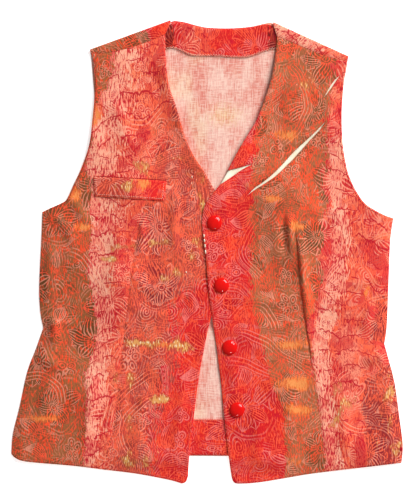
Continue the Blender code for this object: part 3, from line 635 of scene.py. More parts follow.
def left_height(points):
    """The left front, quiet where the right one lies on it."""
    under_lap = edge_at(RIGHT_FRONT_EDGE, points[:, 1]) - points[:, 0]
    free = ease(under_lap / LAP_QUIET_EASE + LAP_QUIET_START)
    free = np.where(points[:, 1] > RIGHT_FRONT_EDGE[-1][1], 1.0, free)
    finer = creased(points, LEFT_CREASES) + waves(points) + edge_wave(points, LEFT_FRONT_EDGE)
    finer += neck_roll(points, LEFT_NECKLINE, LEFT_SHOULDER.seam)
    settle = ease(distance_to(points, LEFT_SHOULDER.seam) / SEAM_LIFT_EASE)
    sewn = dart_form(points, LEFT_DART, LEFT_DART_STEP, LEFT_DART_SEAM_DEPTH)
    return front_height(points, LEFT_SIDE, LEFT_FOLDS, sewn, finer * free * settle)


def lapped_height(points, finer):
    """The right front rides up over the edge of the left one."""
    sewn = dart_form(points, RIGHT_DART, RIGHT_DART_STEP, RIGHT_DART_SEAM_DEPTH)
    base = front_height(points, RIGHT_SIDE, RIGHT_FOLDS, sewn, finer)
    under_edge = edge_at(LEFT_FRONT_EDGE, points[:, 1])
    rest = EDGE_REST * np.exp(-(distance_to(points, RIGHT_FRONT_EDGE) / EDGE_REST_REACH) ** 2)
    rest *= ease((EDGE_REST_TOP - points[:, 1]) / EDGE_REST_TOP_EASE)
    base -= rest * ease((points[:, 1] - EDGE_REST_LOW) / EDGE_REST_LOW_EASE)
    return base + LAP_LIFT * ease((under_edge + LAP_MARGIN + LAP_EASE - points[:, 0]) / LAP_EASE)


def right_height(points):
    """The right front without its rips' lips. It is level under each snap cap."""
    finer = creased(points, RIGHT_CREASES) + waves(points + RIGHT_WAVE_SHIFT)
    finer += edge_wave(points, RIGHT_FRONT_EDGE)
    finer += neck_roll(points, RIGHT_NECKLINE, RIGHT_SHOULDER.seam)
    finer *= ease(distance_to(points, RIGHT_SHOULDER.seam) / SEAM_LIFT_EASE)
    height = lapped_height(points, finer)
    for centre, seat in zip(CAP_CENTRES, CAP_SEATS):
        reach = np.linalg.norm(points - centre, axis=1)
        hold = 1.0 - ease((reach - CAP_SEAT_RADIUS) / CAP_SEAT_EASE)
        height += (seat - SEAM - CLOTH - height) * hold
    return height


def lips(points):
    """Height added along the rips, most on one lip of each, which curls down to the gap."""
    total = np.zeros(len(points))
    for line, scale in LIP_LINES:
        rows = smooth_curve(line, EDGE_STEP)
        reach, share = nearest(points, rows)
        fade = ease(share / LIP_TAPER) * ease((1 - share) / LIP_TAPER)
        over = points[:, 1] > np.interp(points[:, 0], *rows[np.argsort(rows[:, 0])].T)
        height = np.where(over == (scale > 0), LIP_HEIGHT, LOW_LIP_HEIGHT) * abs(scale)
        total += height * fade * np.exp(-((reach - LIP_REACH) / LIP_WIDTH) ** 2)
    return total


def lipped_height(points):
    """The right front with the lips of its rips."""
    return right_height(points) + lips(points)


def left_face(points):
    return left_height(points) + CLOTH


def right_face(points):
    return lipped_height(points) + CLOTH


def outline(curves):
    """A closed outline from rows of points that follow each other."""
    return loop_of([smooth_curve(rows, EDGE_STEP) for rows in curves])


def dart_lines(dart):
    """Lines of points along a dart's seam, close together at its groove."""
    seam = smooth_curve(dart, EDGE_STEP)
    return [seam + (offset, 0.0) for offset in DART_LINES]


def front_armhole(armhole, inward):
    return [(x + inward * inset, y) for x, y, inset in armhole]


def lowered(rows, distance):
    return [(x, y - distance) for x, y in rows]


def left_front_plan():
    seam_end = tuple(lowered(LEFT_NECKLINE[-1:], SEAM))
    curves = (
        front_armhole(LEFT_ARMHOLE, 1) + [LEFT_UPPER_SIDE[0]],
        LEFT_UPPER_SIDE,
        LEFT_LOWER_SIDE,
        LEFT_HEM,
        LEFT_POINT,
        LEFT_FRONT_EDGE,
        LEFT_NECKLINE[:-1] + seam_end,
        lowered(LEFT_SHOULDER.seam[::-1], SEAM),
    )
    return plan_mesh(outline(curves), lines=dart_lines(LEFT_DART))


def right_front_plan():
    seam_end = tuple(lowered(RIGHT_NECKLINE[-1:], SEAM))
    curves = (
        RIGHT_HEM,
        RIGHT_POINT,
        RIGHT_FRONT_EDGE,
        NOTCH_LOWER,
        NOTCH_UPPER,
        RIGHT_NECKLINE[:-1] + seam_end,
        lowered(RIGHT_SHOULDER.seam[::-1], SEAM),
        front_armhole(RIGHT_ARMHOLE, -1) + [RIGHT_UPPER_SIDE[0]],
        RIGHT_UPPER_SIDE,
        RIGHT_LOWER_SIDE,
    )
    rips = [rip_loop(LONG_RIP), rip_loop(SHORT_RIP)]
    return plan_mesh(outline(curves), rips, dart_lines(RIGHT_DART))


class ShoulderFold:
    """The straight line where the back's cloth turns over one shoulder, as in the part's source."""

    def __init__(self, shoulder, outward_sign):
        tip = np.array(shoulder.tip)
        neck = np.array(shoulder.neck)
        self.along = unit(neck - tip)
        self.outward = outward_sign * np.array([-self.along[1], self.along[0]])
        outer_reach = FOLD_RADIUS + CLOTH / 2
        self.tip = tip - self.outward * outer_reach
        self.neck = neck - self.outward * outer_reach
        self.half_turn = math.pi * FOLD_RADIUS
        self.seam = np.array(shoulder.seam)

    def distance(self, points):
        return (points - self.tip) @ self.outward

    def unfolded(self, rows):
        """Where points of the turned-over cloth lie in the flat cut."""
        depth = -self.distance(rows)
        return rows + self.outward * (2 * depth + self.half_turn)[:, None]

    def turned(self, points, offset):
        """Points of the flat cut in space, offset above or below the middle of the cloth."""
        distance = self.distance(points)
        foot = points - self.outward * distance[:, None]
        angle = np.clip(distance / FOLD_RADIUS, 0.0, math.pi)
        radius = FOLD_RADIUS - offset
        past = np.maximum(0.0, distance - self.half_turn)
        place = foot + self.outward * (radius * np.sin(angle) - past)[:, None]
        return np.column_stack([place, CLOTH / 2 + FOLD_RADIUS - radius * np.cos(angle)])

    def end_points(self, end):
        """Points across the turn at one end of the shoulder."""
        shares = np.linspace(0.0, 1.0, FOLD_STEPS + 1)[:, None]
        return end + self.outward * self.half_turn * shares

    def turn_lines(self):
        """Lines along the turn, short of its two ends."""
        pairs = zip(self.end_points(self.tip), self.end_points(self.neck))
        return [smooth_curve((start, end), EDGE_STEP)[1:-1] for start, end in pairs]


LEFT_FOLD = ShoulderFold(LEFT_SHOULDER, 1)
RIGHT_FOLD = ShoulderFold(RIGHT_SHOULDER, -1)


def back_plan():
    """The back's flat cut, with the strips that turn over the shoulders unfolded."""
    left_armhole = [row[:2] for row in reversed(LEFT_ARMHOLE)]
    right_armhole = [row[:2] for row in RIGHT_ARMHOLE]
    loop = loop_of([
        smooth_curve(BACK_HEM[::-1], EDGE_STEP),
        smooth_curve(LEFT_LOWER_SIDE[::-1], EDGE_STEP),
        smooth_curve(LEFT_UPPER_SIDE[::-1], EDGE_STEP),
        smooth_curve([LEFT_UPPER_SIDE[0]] + left_armhole, EDGE_STEP),
        LEFT_FOLD.end_points(LEFT_FOLD.tip),
        smooth_curve(LEFT_FOLD.unfolded(LEFT_FOLD.seam), EDGE_STEP),
        LEFT_FOLD.end_points(LEFT_FOLD.neck)[::-1],
        smooth_curve(BACK_NECK, EDGE_STEP),
        RIGHT_FOLD.end_points(RIGHT_FOLD.neck),
        smooth_curve(RIGHT_FOLD.unfolded(RIGHT_FOLD.seam[::-1]), EDGE_STEP),
        RIGHT_FOLD.end_points(RIGHT_FOLD.tip)[::-1],
        smooth_curve(right_armhole + [RIGHT_UPPER_SIDE[0]], EDGE_STEP),
        smooth_curve(RIGHT_UPPER_SIDE, EDGE_STEP),
        smooth_curve(RIGHT_LOWER_SIDE, EDGE_STEP),
    ])
    turns = LEFT_FOLD.turn_lines() + RIGHT_FOLD.turn_lines()
    return plan_mesh(loop, lines=turns, step=BACK_STEP, edge_round=0.4)


def back_points(points, offset):
    """Points of the back's flat cut in space."""
    placed = np.column_stack([points, np.zeros(len(points)) + CLOTH / 2 + offset])
    for fold in (LEFT_FOLD, RIGHT_FOLD):
        beside = (points[:, 0] < BACK_MIDDLE) == (fold is LEFT_FOLD)
        over = beside & (fold.distance(points) > 0.0)
        placed[over] = fold.turned(points[over], offset[over])
    return placed


class Value:
    """A number, colour or vector in a finish, so that shader maths reads as Python."""

    def __init__(self, finish, socket):
        self.finish = finish
        self.socket = socket

    def also(self, output):
        """Another output of the same node."""
        return Value(self.finish, self.socket.node.outputs[output])

    def __add__(self, other):
        add = vector_maths if isinstance(other, tuple) else maths
        return add("ADD", self, other)

    __radd__ = __add__

    def __sub__(self, other):
        return maths("SUBTRACT", self, other)

    def __rsub__(self, other):
        return maths("SUBTRACT", other, self)

    def __mul__(self, other):
        return maths("MULTIPLY", self, other)

    __rmul__ = __mul__

    def __truediv__(self, other):
        return maths("DIVIDE", self, other)

    def __rtruediv__(self, other):
        return maths("DIVIDE", other, self)

    def __gt__(self, other):
        return maths("GREATER_THAN", self, other)

    def __abs__(self):
        return maths("ABSOLUTE", self)


class Finish:
    """One material while its nodes are being joined up."""

    def __init__(self, name):
        self.material = bpy.data.materials.new(name)
        self.material.use_nodes = True
        self.tree = self.material.node_tree
        self.shader = self.tree.nodes["Principled BSDF"]

    def feed(self, socket, value):
        if isinstance(value, Value):
            self.tree.links.new(value.socket, socket)
        else:
            socket.default_value = value

    def node(self, kind, settings, inputs):
        """A node of a type, with its settings set first and then its sockets."""
        made = self.tree.nodes.new(kind)
        for name, value in settings.items():
            if name == "stops":
                fill_ramp(made.color_ramp, value)
            else:
                setattr(made, name, value)
        for place, value in inputs.items():
            self.feed(made.inputs[place], value)
        return Value(self, made.outputs[0])

    def set(self, **sockets):
        """Set or join the shader's own sockets, named with _ for a space."""
        for name, value in sockets.items():
            self.feed(self.shader.inputs[name.replace("_", " ")], value)


def fill_ramp(ramp, stops):
    """Give a ramp its stops, each a place from 0 to 1 and a grey."""
    while len(ramp.elements) < len(stops):
        ramp.elements.new(1.0)
    for element, (place, grey) in zip(ramp.elements, stops):
        element.position = place
        element.color = (grey, grey, grey, 1.0)


def maths(operation, *terms):
    finish = next(term.finish for term in terms if isinstance(term, Value))
    return finish.node("ShaderNodeMath", {"operation": operation}, dict(enumerate(terms)))


def vector_maths(operation, *terms):
    finish = next(term.finish for term in terms if isinstance(term, Value))
    return finish.node("ShaderNodeVectorMath", {"operation": operation}, dict(enumerate(terms)))


def rise(value, low, high):
    """0 at low and 1 at high, eased between them. It falls where low is above high."""
    return value.finish.node(
        "ShaderNodeMapRange", {"interpolation_type": "SMOOTHSTEP"},
        {"Value": value, "From Min": low, "From Max": high})


def blend(share, first, second):
    """A colour between two others."""
    finish = next(term.finish for term in (share, first, second) if isinstance(term, Value))
    mixed = finish.node("ShaderNodeMix", {"data_type": "RGBA"}, {0: share, 6: first, 7: second})
    return mixed.also(2)


def parts(vector):
    """The x and y of a vector."""
    split = vector.finish.node("ShaderNodeSeparateXYZ", {}, {0: vector})
    return split, split.also(1)


def mottle(place, wide, high, detail=1.0, contrast=1.0):
    """Soft noise from about 0 to 1, with marks of a width and a height in millimetres."""
    stretched = vector_maths("MULTIPLY", place, (1 / wide, 1 / high, 0.0))
    noise = place.finish.node(
        "ShaderNodeTexNoise", {"noise_dimensions": "2D"},
        {"Vector": stretched, "Scale": 1.0, "Detail": detail})
    return (noise - 0.5) * contrast + 0.5


# Marks of the print
LINE_WIDTH = 1.5
LINE_BLUR = 0.3
LARGE_CELL = 84.0
SMALL_CELL = 33.0
LEAF_CELL = 24.0
ECHO = 3.8
STEM_HALF_WIDTH = 6.6
STEM_LINE_PITCH = 4.4
MOTIF_BEND = 26.0
STEM_BEND = 20.0
CRACK_PITCH = 21.0
CRACK_PLACE = 14.0
FULL_TURN = 6.28
FLORET_LENGTH = 14.0
PAISLEY_LENGTH = 62.0


def pen_line(distance, width=LINE_WIDTH):
    """A drawn line, where the distance from its middle is small."""
    return rise(distance, width / 2 + LINE_BLUR, max(0.0, width / 2 - LINE_BLUR))


def echo(distance, spacing=ECHO):
    """Distance from the nearest of evenly spaced lines."""
    return maths("PINGPONG", distance, spacing / 2)


def most(first, *others):
    """The largest of several values."""
    for other in others:
        first = maths("MAXIMUM", first, other)
    return first


def least(first, second):
    return maths("MINIMUM", first, second)


def choose(share, first, second):
    """A value between two others."""
    return first + (second - first) * share


Cell = namedtuple("Cell", "x y radius angle chance other_chance third_chance")
# around is how far outside a motif a place is
Drawing = namedtuple("Drawing", "lines fill around")


def cells(place, size, jitter):
    """Scattered centres: the way to the nearest one, and three chance numbers for it."""
    voronoi = place.finish.node(
        "ShaderNodeTexVoronoi", {"voronoi_dimensions": "2D", "feature": "F1"},
        {"Vector": place, "Scale": 1 / size, "Randomness": jitter})
    x, y = parts(vector_maths("SUBTRACT", place, voronoi.also("Position")))
    chances = place.finish.node("ShaderNodeSeparateColor", {}, {0: voronoi.also("Color")})
    radius = maths("SQRT", x * x + y * y)
    return Cell(x, y, radius, maths("ARCTAN2", y, x), chances, chances.also(1), chances.also(2))


def pick(share, first, second):
    """One drawing or another."""
    return Drawing(*(choose(share, *pair) for pair in zip(first, second)))


def petal(along, across, length, width, veined=True):
    """A pointed petal or leaf, with its outline, its middle vein and perhaps four more."""
    share = along.finish.node("ShaderNodeClamp", {}, {0: along / length})
    edge = maths("POWER", share, 1.2) * (1.0 - share) * width * 4.4
    within = least(edge - across, length - along)
    veins = pen_line(across, 1.4)
    if veined:
        inner = pen_line(abs(across - edge * 0.36), 1.3)
        outer = pen_line(abs(across - edge * 0.7), 1.2)
        veins = most(veins, inner, outer)
    drawn = most(pen_line(abs(within)), veins * rise(within, 0.2, 0.8))
    return Drawing(drawn, rise(within, 0.0, 0.6), 0.0 - within)


def from_middle(cell, turn):
    """A place in its cell, along a way turned round the middle and across it."""
    return cell.radius * maths("COSINE", turn), cell.radius * maths("SINE", turn)


# Two rings of petals, longer on one side by the share lean
Bloom = namedtuple("Bloom", "petals length width swirl lean")
FLOWER = Bloom(5.0, 33.0, 12.6, 0.012, 0.14)
FAN = Bloom(6.0, 31.0, 10.4, -0.018, 0.42)


def bloom(cell, kind):
    """A flower of two rings of pointed petals."""
    turn = cell.angle + cell.other_chance * FULL_TURN
    reach = (maths("COSINE", turn) * kind.lean + 1.0) * kind.length
    off = maths("PINGPONG", turn + cell.radius * kind.swirl, math.pi / kind.petals)
    front = petal(*from_middle(cell, off), reach, kind.width)
    off = math.pi / kind.petals - off
    behind = petal(*from_middle(cell, off), reach * 0.88, kind.width, False)
    hub = pen_line(echo(cell.radius + 0.4, 3.6), 1.2)
    in_hub = rise(cell.radius, 5.4, 5.0)
    drawn = choose(in_hub, choose(front.fill, behind.lines, front.lines), hub)
    return Drawing(drawn, most(front.fill, behind.fill * 0.4), cell.radius - reach)


def floret(cell, petals, length, width):
    """A small flower of one ring of round petals, each with a smaller round inside it."""
    turn = cell.angle + cell.other_chance * FULL_TURN
    along, across = from_middle(cell, maths("PINGPONG", turn, math.pi / petals))
    out = (along - length * 0.58) / (length * 0.42)
    aside = across / width
    within = (1.0 - maths("SQRT", out * out + aside * aside)) * width
    petals_drawn = most(pen_line(abs(within)), pen_line(abs(within - width * 0.55), 1.2))
    hub = pen_line(abs(cell.radius - 2.0), 1.2)
    return Drawing(most(petals_drawn, hub), rise(within, 0.0, 0.6), cell.radius - length)


def paisley(cell):
    """A curved drop with a row of beads inside its double outline, and veins at its heart."""
    turn = cell.angle + cell.other_chance * FULL_TURN + cell.radius * 0.022
    along, across = from_middle(cell, turn)
    along = along + 17.0
    across = abs(across)
    share = along.finish.node("ShaderNodeClamp", {}, {0: along / PAISLEY_LENGTH})
    edge = maths("SQRT", share) * (1.0 - share) * 44.0
    within = least(edge - across, along)
    border = most(pen_line(abs(within)), pen_line(abs(within - 2.8), 1.1))
    bead_along = maths("PINGPONG", along, 2.6)
    bead_out = within - 5.9
    bead = maths("SQRT", bead_along * bead_along + bead_out * bead_out)
    beads = pen_line(abs(bead - 1.2), 1.0) * rise(within, 3.4, 3.8)
    heart = pen_line(abs(within - 9.0), 1.2)
    ribs = most(pen_line(echo(along + across * 1.3, 5.2), 1.1), pen_line(across, 1.3))
    drawn = most(border, beads, heart, ribs * rise(within, 9.6, 10.2))
    return Drawing(drawn, rise(within, 8.4, 9.0), 0.0 - within)


def large_motifs(place):
    """Large flowers, fans and paisleys, with lines echoing round them."""
    cell = cells(place, LARGE_CELL, 0.7)
    drawing = pick(cell.third_chance > 0.36, bloom(cell, FLOWER), bloom(cell, FAN))
    drawing = pick(cell.third_chance > 0.68, drawing, paisley(cell))
    halo = pen_line(echo(drawing.around + 1.4)) * rise(drawing.around, 0.8, 1.2) * 0.6
    lines = most(drawing.lines * rise(drawing.around, 0.8, 0.4), halo)
    return Drawing(lines, drawing.fill, drawing.around)


def curved_leaf(cell, chance, start, bend, aside, length, width, veined):
    """A leaf that curves away from its middle line."""
    along, across = from_middle(cell, cell.angle + chance * FULL_TURN)
    across = abs(across + along * along * bend - aside)
    return petal(along + start, across, length, width, veined)


def small_motifs(place):
    """Florets, curved leaves and scrolls that fill the ground between the large motifs."""
    cell = cells(place, SMALL_CELL, 0.8)
    scroll = Drawing(pen_line(echo(cell.radius - cell.angle * (ECHO / (2 * math.pi))), 1.3),
                     rise(cell.radius, 8.0, 7.0) * 0.5, cell.radius - 12.0)
    leaf = curved_leaf(cell, cell.other_chance, 15.0, 0.018, 2.0, 31.0, 8.4, True)
    drawing = pick(cell.third_chance > 0.15, scroll, floret(cell, 5.0, FLORET_LENGTH, 4.7))
    return pick(cell.third_chance > 0.52, drawing, leaf)


def leaves(place):
    """Small leaves under everything."""
    cell = cells(place + (37.0, 11.0, 0.0), LEAF_CELL, 0.9)
    return curved_leaf(cell, cell.chance, 11.0, 0.02, 1.5, 24.0, 4.6, False)


Arc = namedtuple("Arc", "x y radius middle half")
LEFT_ARCS = (
    Arc(-62, -232, 44, 150, 84), Arc(-60, -230, 72, 134, 46), Arc(-196, -60, 62, 24, 52),
    Arc(-100, 214, 50, -36, 62), Arc(-226, -196, 40, 60, 60),
)
RIGHT_ARCS = (
    Arc(18, -262, 156, 56, 32), Arc(20, -262, 122, 68, 24), Arc(204, -196, 38, 196, 84),
    Arc(66, 196, 62, -6, 56), Arc(96, 8, 47, 190, 60), Arc(60, -100, 30, 80, 80),
)


def stems(place, arcs):
    """Long sweeping stems, each drawn as three lines along an arc, and where they are."""
    drawn = None
    for arc in arcs:
        middle = math.radians(arc.middle)
        way = vector_maths("SUBTRACT", place, (arc.x, arc.y, 0.0))
        radius = vector_maths("LENGTH", way).also("Value")
        aim = (math.cos(middle), math.sin(middle), 0.0)
        toward = vector_maths("DOT_PRODUCT", way, aim).also("Value")
        swing = math.cos(math.radians(arc.half))
        away = abs(radius - arc.radius)
        ends = rise(toward / radius, swing, swing + 0.1)
        here = rise(away, STEM_HALF_WIDTH, STEM_HALF_WIDTH - 0.6) * ends
        lines = pen_line(echo(away, STEM_LINE_PITCH), 1.3) * here
        drawn = (lines, here) if drawn is None else (most(drawn[0], lines), most(drawn[1], here))
    return drawn


Ground = namedtuple("Ground", "cloth deep stray odd line dash dashes lines cracks")
Zone = namedtuple("Zone", "edge ragged ground")


def linear(red, green, blue):
    """A colour given as it looks on a screen, from 0 to 255, as the renderer's own."""
    channels = []
    for shown in (red, green, blue):
        share = shown / 255
        channels.append(share / 12.92 if share <= 0.04045 else ((share + 0.055) / 1.055) ** 2.4)
    return (*channels, 1.0)


CRIMSON = linear(190, 26, 44)
GOLD = linear(234, 172, 98)
ORANGE = linear(246, 112, 50)
CREAM = linear(255, 244, 214)
BRONZE = linear(182, 92, 52)

BROWN = Ground(
    cloth=linear(164, 96, 58), deep=linear(104, 66, 38), stray=linear(176, 84, 50),
    odd=linear(172, 88, 60), line=linear(222, 134, 108), dash=linear(250, 76, 42),
    dashes=0.25, lines=1.0, cracks=0.0)
WARM_BROWN = BROWN._replace(
    cloth=linear(178, 104, 68), stray=linear(210, 104, 68), odd=linear(200, 98, 68),
    line=linear(230, 140, 112))
RED = Ground(
    cloth=linear(222, 40, 40), deep=linear(190, 18, 30), stray=linear(242, 60, 38),
    odd=linear(206, 32, 50), line=linear(240, 120, 112), dash=linear(250, 86, 54),
    dashes=0.22, lines=0.95, cracks=0.0)
CORAL = Ground(
    cloth=linear(248, 104, 72), deep=linear(218, 58, 54), stray=linear(232, 66, 56),
    odd=linear(254, 142, 106), line=linear(255, 158, 132), dash=linear(198, 40, 48),
    dashes=0.36, lines=0.8, cracks=1.0)
PALE = Ground(
    cloth=linear(253, 176, 146), deep=linear(246, 138, 112), stray=linear(244, 120, 96),
    odd=linear(234, 96, 86), line=linear(255, 196, 170), dash=linear(204, 46, 58),
    dashes=0.38, lines=0.5, cracks=1.0)
MAUVE = Ground(
    cloth=linear(194, 70, 60), deep=linear(146, 40, 46), stray=linear(238, 108, 76),
    odd=linear(170, 72, 54), line=linear(248, 152, 128), dash=linear(250, 98, 64),
    dashes=0.33, lines=0.9, cracks=0.3)
# A darker mauve for the right waist: partly print, partly painted shade in the hollow of the waist
DARK_MAUVE_AND_SHADE = MAUVE._replace(
    cloth=linear(172, 58, 54), stray=linear(204, 84, 66), odd=linear(152, 50, 50))

# Edges between the grounds of the print: the x of each edge for a height y
Edge = namedtuple("Edge", "y x")


def edge_rows(*pairs):
    return tuple(Edge(y, x) for y, x in pairs)


LEFT_PALE = edge_rows(
    (-283, -160), (-156, -157), (-125, -147), (-98, -142), (-62, -148), (-26, -155), (9, -151),
    (87, -152), (113, -156), (146, -152), (182, -150), (194, -144), (203, -138), (213, -133),
    (230, -125), (250, -121), (269, -118))
LEFT_CORAL = edge_rows(
    (-283, -146), (-244, -144), (-192, -136), (-140, -128), (-101, -127), (-49, -127), (3, -123),
    (55, -123), (100, -118), (133, -117), (172, -112), (211, -98), (263, -95))
LEFT_MAUVE = edge_rows(
    (-283, -130), (-244, -125), (-205, -118), (-173, -114), (-127, -112), (-75, -103), (-30, -101),
    (-13, -96), (22, -88), (61, -79), (133, -68), (185, -54), (204, -40), (224, -16), (263, 10))
LEFT_RED = edge_rows(
    (-283, -75), (-218, -70), (-186, -64), (-153, -51), (-121, -40), (-101, -46), (-69, -46),
    (-49, -22), (-23, 10), (10, 40))
RIGHT_BROWN = edge_rows(
    (-283, 103), (-218, 99), (-199, 95), (-179, 87), (-153, 79), (-121, 72), (-101, 66), (-82, 61),
    (-62, 57), (100, 57), (120, 61), (159, 64), (178, 72), (198, 66))
RIGHT_CORAL = edge_rows(
    (-283, 157), (-251, 152), (-212, 147), (-173, 140), (-127, 134), (-101, 130), (-82, 135),
    (-62, 142), (-43, 146), (-13, 148), (16, 151), (68, 152), (172, 156), (198, 160), (230, 164))
RIGHT_PALE = edge_rows(
    (-283, 155), (-231, 149), (-192, 144), (-153, 139), (-121, 136), (-101, 139), (-75, 145),
    (-49, 155), (-23, 158), (16, 162), (68, 159), (140, 157), (165, 176))
RIGHT_SIDE_CORAL = edge_rows(
    (-283, 178), (-231, 167), (-192, 163), (-153, 158), (-121, 157), (-101, 161), (-75, 167),
    (-49, 177), (-23, 180), (16, 184), (68, 181), (140, 177), (165, 178))
# The darker mauve at the right side is partly painted shade in the waist hollow; it stops short just
# below the waist, where the cloth is left lighter on a lit fold
RIGHT_MAROON_AND_SHADE = edge_rows(
    (-283, 207), (-218, 205), (-192, 202), (-168, 203), (-158, 216), (-140, 244), (-126, 250),
    (-114, 214), (-100, 212), (-88, 216), (-62, 225), (-43, 238), (-20, 300))


def straight(x):
    return edge_rows((-283, x), (283, x))


LEFT_ZONES = (
    Zone(None, 0.0, BROWN), Zone(LEFT_PALE, 6.0, PALE), Zone(LEFT_CORAL, 22.0, CORAL),
    Zone(LEFT_MAUVE, 20.0, MAUVE), Zone(LEFT_RED, 34.0, RED))
RIGHT_ZONES = (
    Zone(None, 0.0, RED), Zone(RIGHT_BROWN, 7.0, WARM_BROWN), Zone(RIGHT_CORAL, 7.0, CORAL),
    Zone(RIGHT_PALE, 6.0, PALE), Zone(RIGHT_SIDE_CORAL, 10.0, CORAL),
    Zone(RIGHT_MAROON_AND_SHADE, 8.0, DARK_MAUVE_AND_SHADE))
# A dark red for the two ends of the neck facing: painted shade where the facing runs in under the fronts'
# necklines
NECK_END_SHADE_RED = RED._replace(
    cloth=linear(150, 34, 32), deep=linear(112, 22, 24), stray=linear(176, 52, 38),
    odd=linear(140, 26, 38), line=linear(186, 84, 72), dash=linear(196, 62, 42))
WELT_RUST = MAUVE._replace(
    cloth=linear(212, 84, 64), deep=linear(186, 60, 52), odd=linear(196, 70, 62), cracks=0.0)
WELT_ZONES = (
    Zone(None, 0.0, WELT_RUST), Zone(straight(-104), 12.0, CORAL), Zone(straight(-84), 8.0, RED))
# The dark red grounds at both ends of the neck facing are painted shade
NECK_ZONES = (
    Zone(None, 0.0, NECK_END_SHADE_RED), Zone(straight(-45), 5.0, RED), Zone(straight(-34), 3.0, CORAL),
    Zone(straight(2), 9.0, RED), Zone(straight(81), 5.0, NECK_END_SHADE_RED))
HEM_ZONES = (Zone(None, 0.0, RED), Zone(straight(40), 9.0, MAUVE), Zone(straight(90), 9.0, BROWN))
BACK_ZONES = (
    Zone(None, 0.0, BROWN), Zone(straight(-84), 6.0, RED), Zone(straight(60), 9.0, PALE),
    Zone(straight(150), 9.0, CORAL))

# Patches brushed on in orange bars, or in thin gold strokes on bronze
Patch = namedtuple("Patch", "x y wide high strength")

LEFT_BARS = (
    Patch(-144, 178, 8, 17, 0.8), Patch(-172, 73, 9, 10, 0.7), Patch(-160, 32, 12, 6, 0.8),
    Patch(-216, -216, 22, 5, 0.9), Patch(-58, -120, 12, 5, 0.8),
)
LEFT_STROKES = (
    Patch(-112, 7, 15, 5, 1.1), Patch(-126, -9, 10, 3, 1.0), Patch(-84, 106, 13, 8, 0.9),
    Patch(-5, 58, 5, 13, 0.5), Patch(-58, 11, 14, 4, 0.7), Patch(-84, -118, 26, 5, 1.1),
    Patch(-36, -122, 14, 8, 1.0), Patch(-104, -168, 9, 10, 0.7), Patch(-66, -192, 16, 6, 0.9),
    Patch(-100, -228, 7, 11, 0.8), Patch(-44, 122, 9, 5, 0.8), Patch(-92, -270, 18, 8, 0.45),
    Patch(-40, -30, 16, 6, 0.6), Patch(-14, 8, 5, 12, 0.4), Patch(-20, 96, 10, 10, 0.7),
)
RIGHT_BARS = (
    Patch(106, 152, 15, 7, 1.0), Patch(118, 33, 13, 8, 1.0), Patch(110, -121, 25, 7, 0.9),
    Patch(115, -171, 24, 10, 1.2), Patch(118, -205, 20, 8, 1.0), Patch(84, 70, 12, 5, 0.6),
    Patch(208, -54, 5, 10, 0.7), Patch(112, -272, 13, 6, 0.5),
)
RIGHT_STROKES = (
    Patch(176, -196, 11, 14, 0.5), Patch(238, -180, 9, 20, 0.4), Patch(132, 214, 5, 12, 0.3),
    Patch(240, -252, 10, 10, 0.4), Patch(168, -218, 8, 7, 0.5),
)
WELT_BARS = (Patch(-84, 88, 10, 9, 0.9),)
WELT_STROKES = (Patch(-102, 84, 11, 8, 1.0),)

# Washes under the drawing, each a colour laid over some soft patches of the ground. Some garnet patches
# are painted shade
Wash = namedtuple("Wash", "colour patches")
UMBER = linear(146, 80, 50)
# Garnet: partly a darker print, partly painted shade
GARNET_AND_SHADE = linear(160, 48, 48)
APRICOT = linear(254, 124, 84)
ROSE = linear(250, 144, 120)
# The upper garnet patch here is partly painted shade down the middle of the left front, partly darker
# print
LEFT_WASHES_AND_SHADE = (
    Wash(APRICOT, (Patch(-86, 192, 20, 60, 0.9), Patch(-98, 60, 12, 40, 0.7))),
    Wash(GARNET_AND_SHADE, (Patch(-62, 6, 14, 76, 0.9), Patch(-82, -212, 20, 46, 0.7))),
    Wash(UMBER, (Patch(-212, -232, 36, 36, 1.0), Patch(-176, 120, 12, 24, 0.7))),
)
# The garnet patches at the top of the neckline's edge and in the waist hollow are painted shade
RIGHT_WASHES_AND_SHADE = (
    Wash(UMBER, (Patch(94, 80, 32, 46, 1.0), Patch(98, -14, 32, 44, 0.9))),
    Wash(ROSE, (Patch(184, -150, 18, 92, 0.8),)),
    Wash(GARNET_AND_SHADE, (Patch(232, -208, 20, 62, 0.9), Patch(230, -96, 8, 28, 1.2),
                  Patch(80, 252, 8, 32, 1.1))),
)

PRINT_LOW = -310.0
PRINT_HIGH = 310.0


def share_of_print(place):
    """Where a place in millimetres is between the print's two ends, from 0 to 1."""
    return (place - PRINT_LOW) / (PRINT_HIGH - PRINT_LOW)


def edge_x(y, rows):
    """The x of a ground's edge at the height y, read from its rows."""
    share = share_of_print(y)
    stops = [(share_of_print(row.y), share_of_print(row.x)) for row in rows]
    ramp = share.finish.node("ShaderNodeValToRGB", {"stops": stops}, {0: share})
    return ramp * (PRINT_HIGH - PRINT_LOW) + PRINT_LOW


def map_place(finish, name, shift=0.0):
    """A map's place in millimetres, moved along by shift so that each piece has its own stretch."""
    metres = finish.node("ShaderNodeUVMap", {"uv_map": name}, {})
    return vector_maths("MULTIPLY_ADD", metres, (1 / MM, 1 / MM, 0.0), (shift, shift * 0.7, 0.0))


def shaded(colour, share):
    """A colour made lighter or darker by a share."""
    return colour.finish.node("ShaderNodeVectorMath", {"operation": "SCALE"}, {0: colour, "Scale": share})


def patch_strength(lay, patches):
    """How deep in a patch a place is, from 0 at its edge to 1 at its middle."""
    deepest = None
    for patch in patches:
        away = vector_maths("MULTIPLY", vector_maths("SUBTRACT", lay, (patch.x, patch.y, 0.0)),
                            (1 / patch.wide, 1 / patch.high, 0.0))
        length = vector_maths("LENGTH", away).also("Value")
        depth = (1.25 - length) * patch.strength
        deepest = depth if deepest is None else most(deepest, depth)
    return deepest


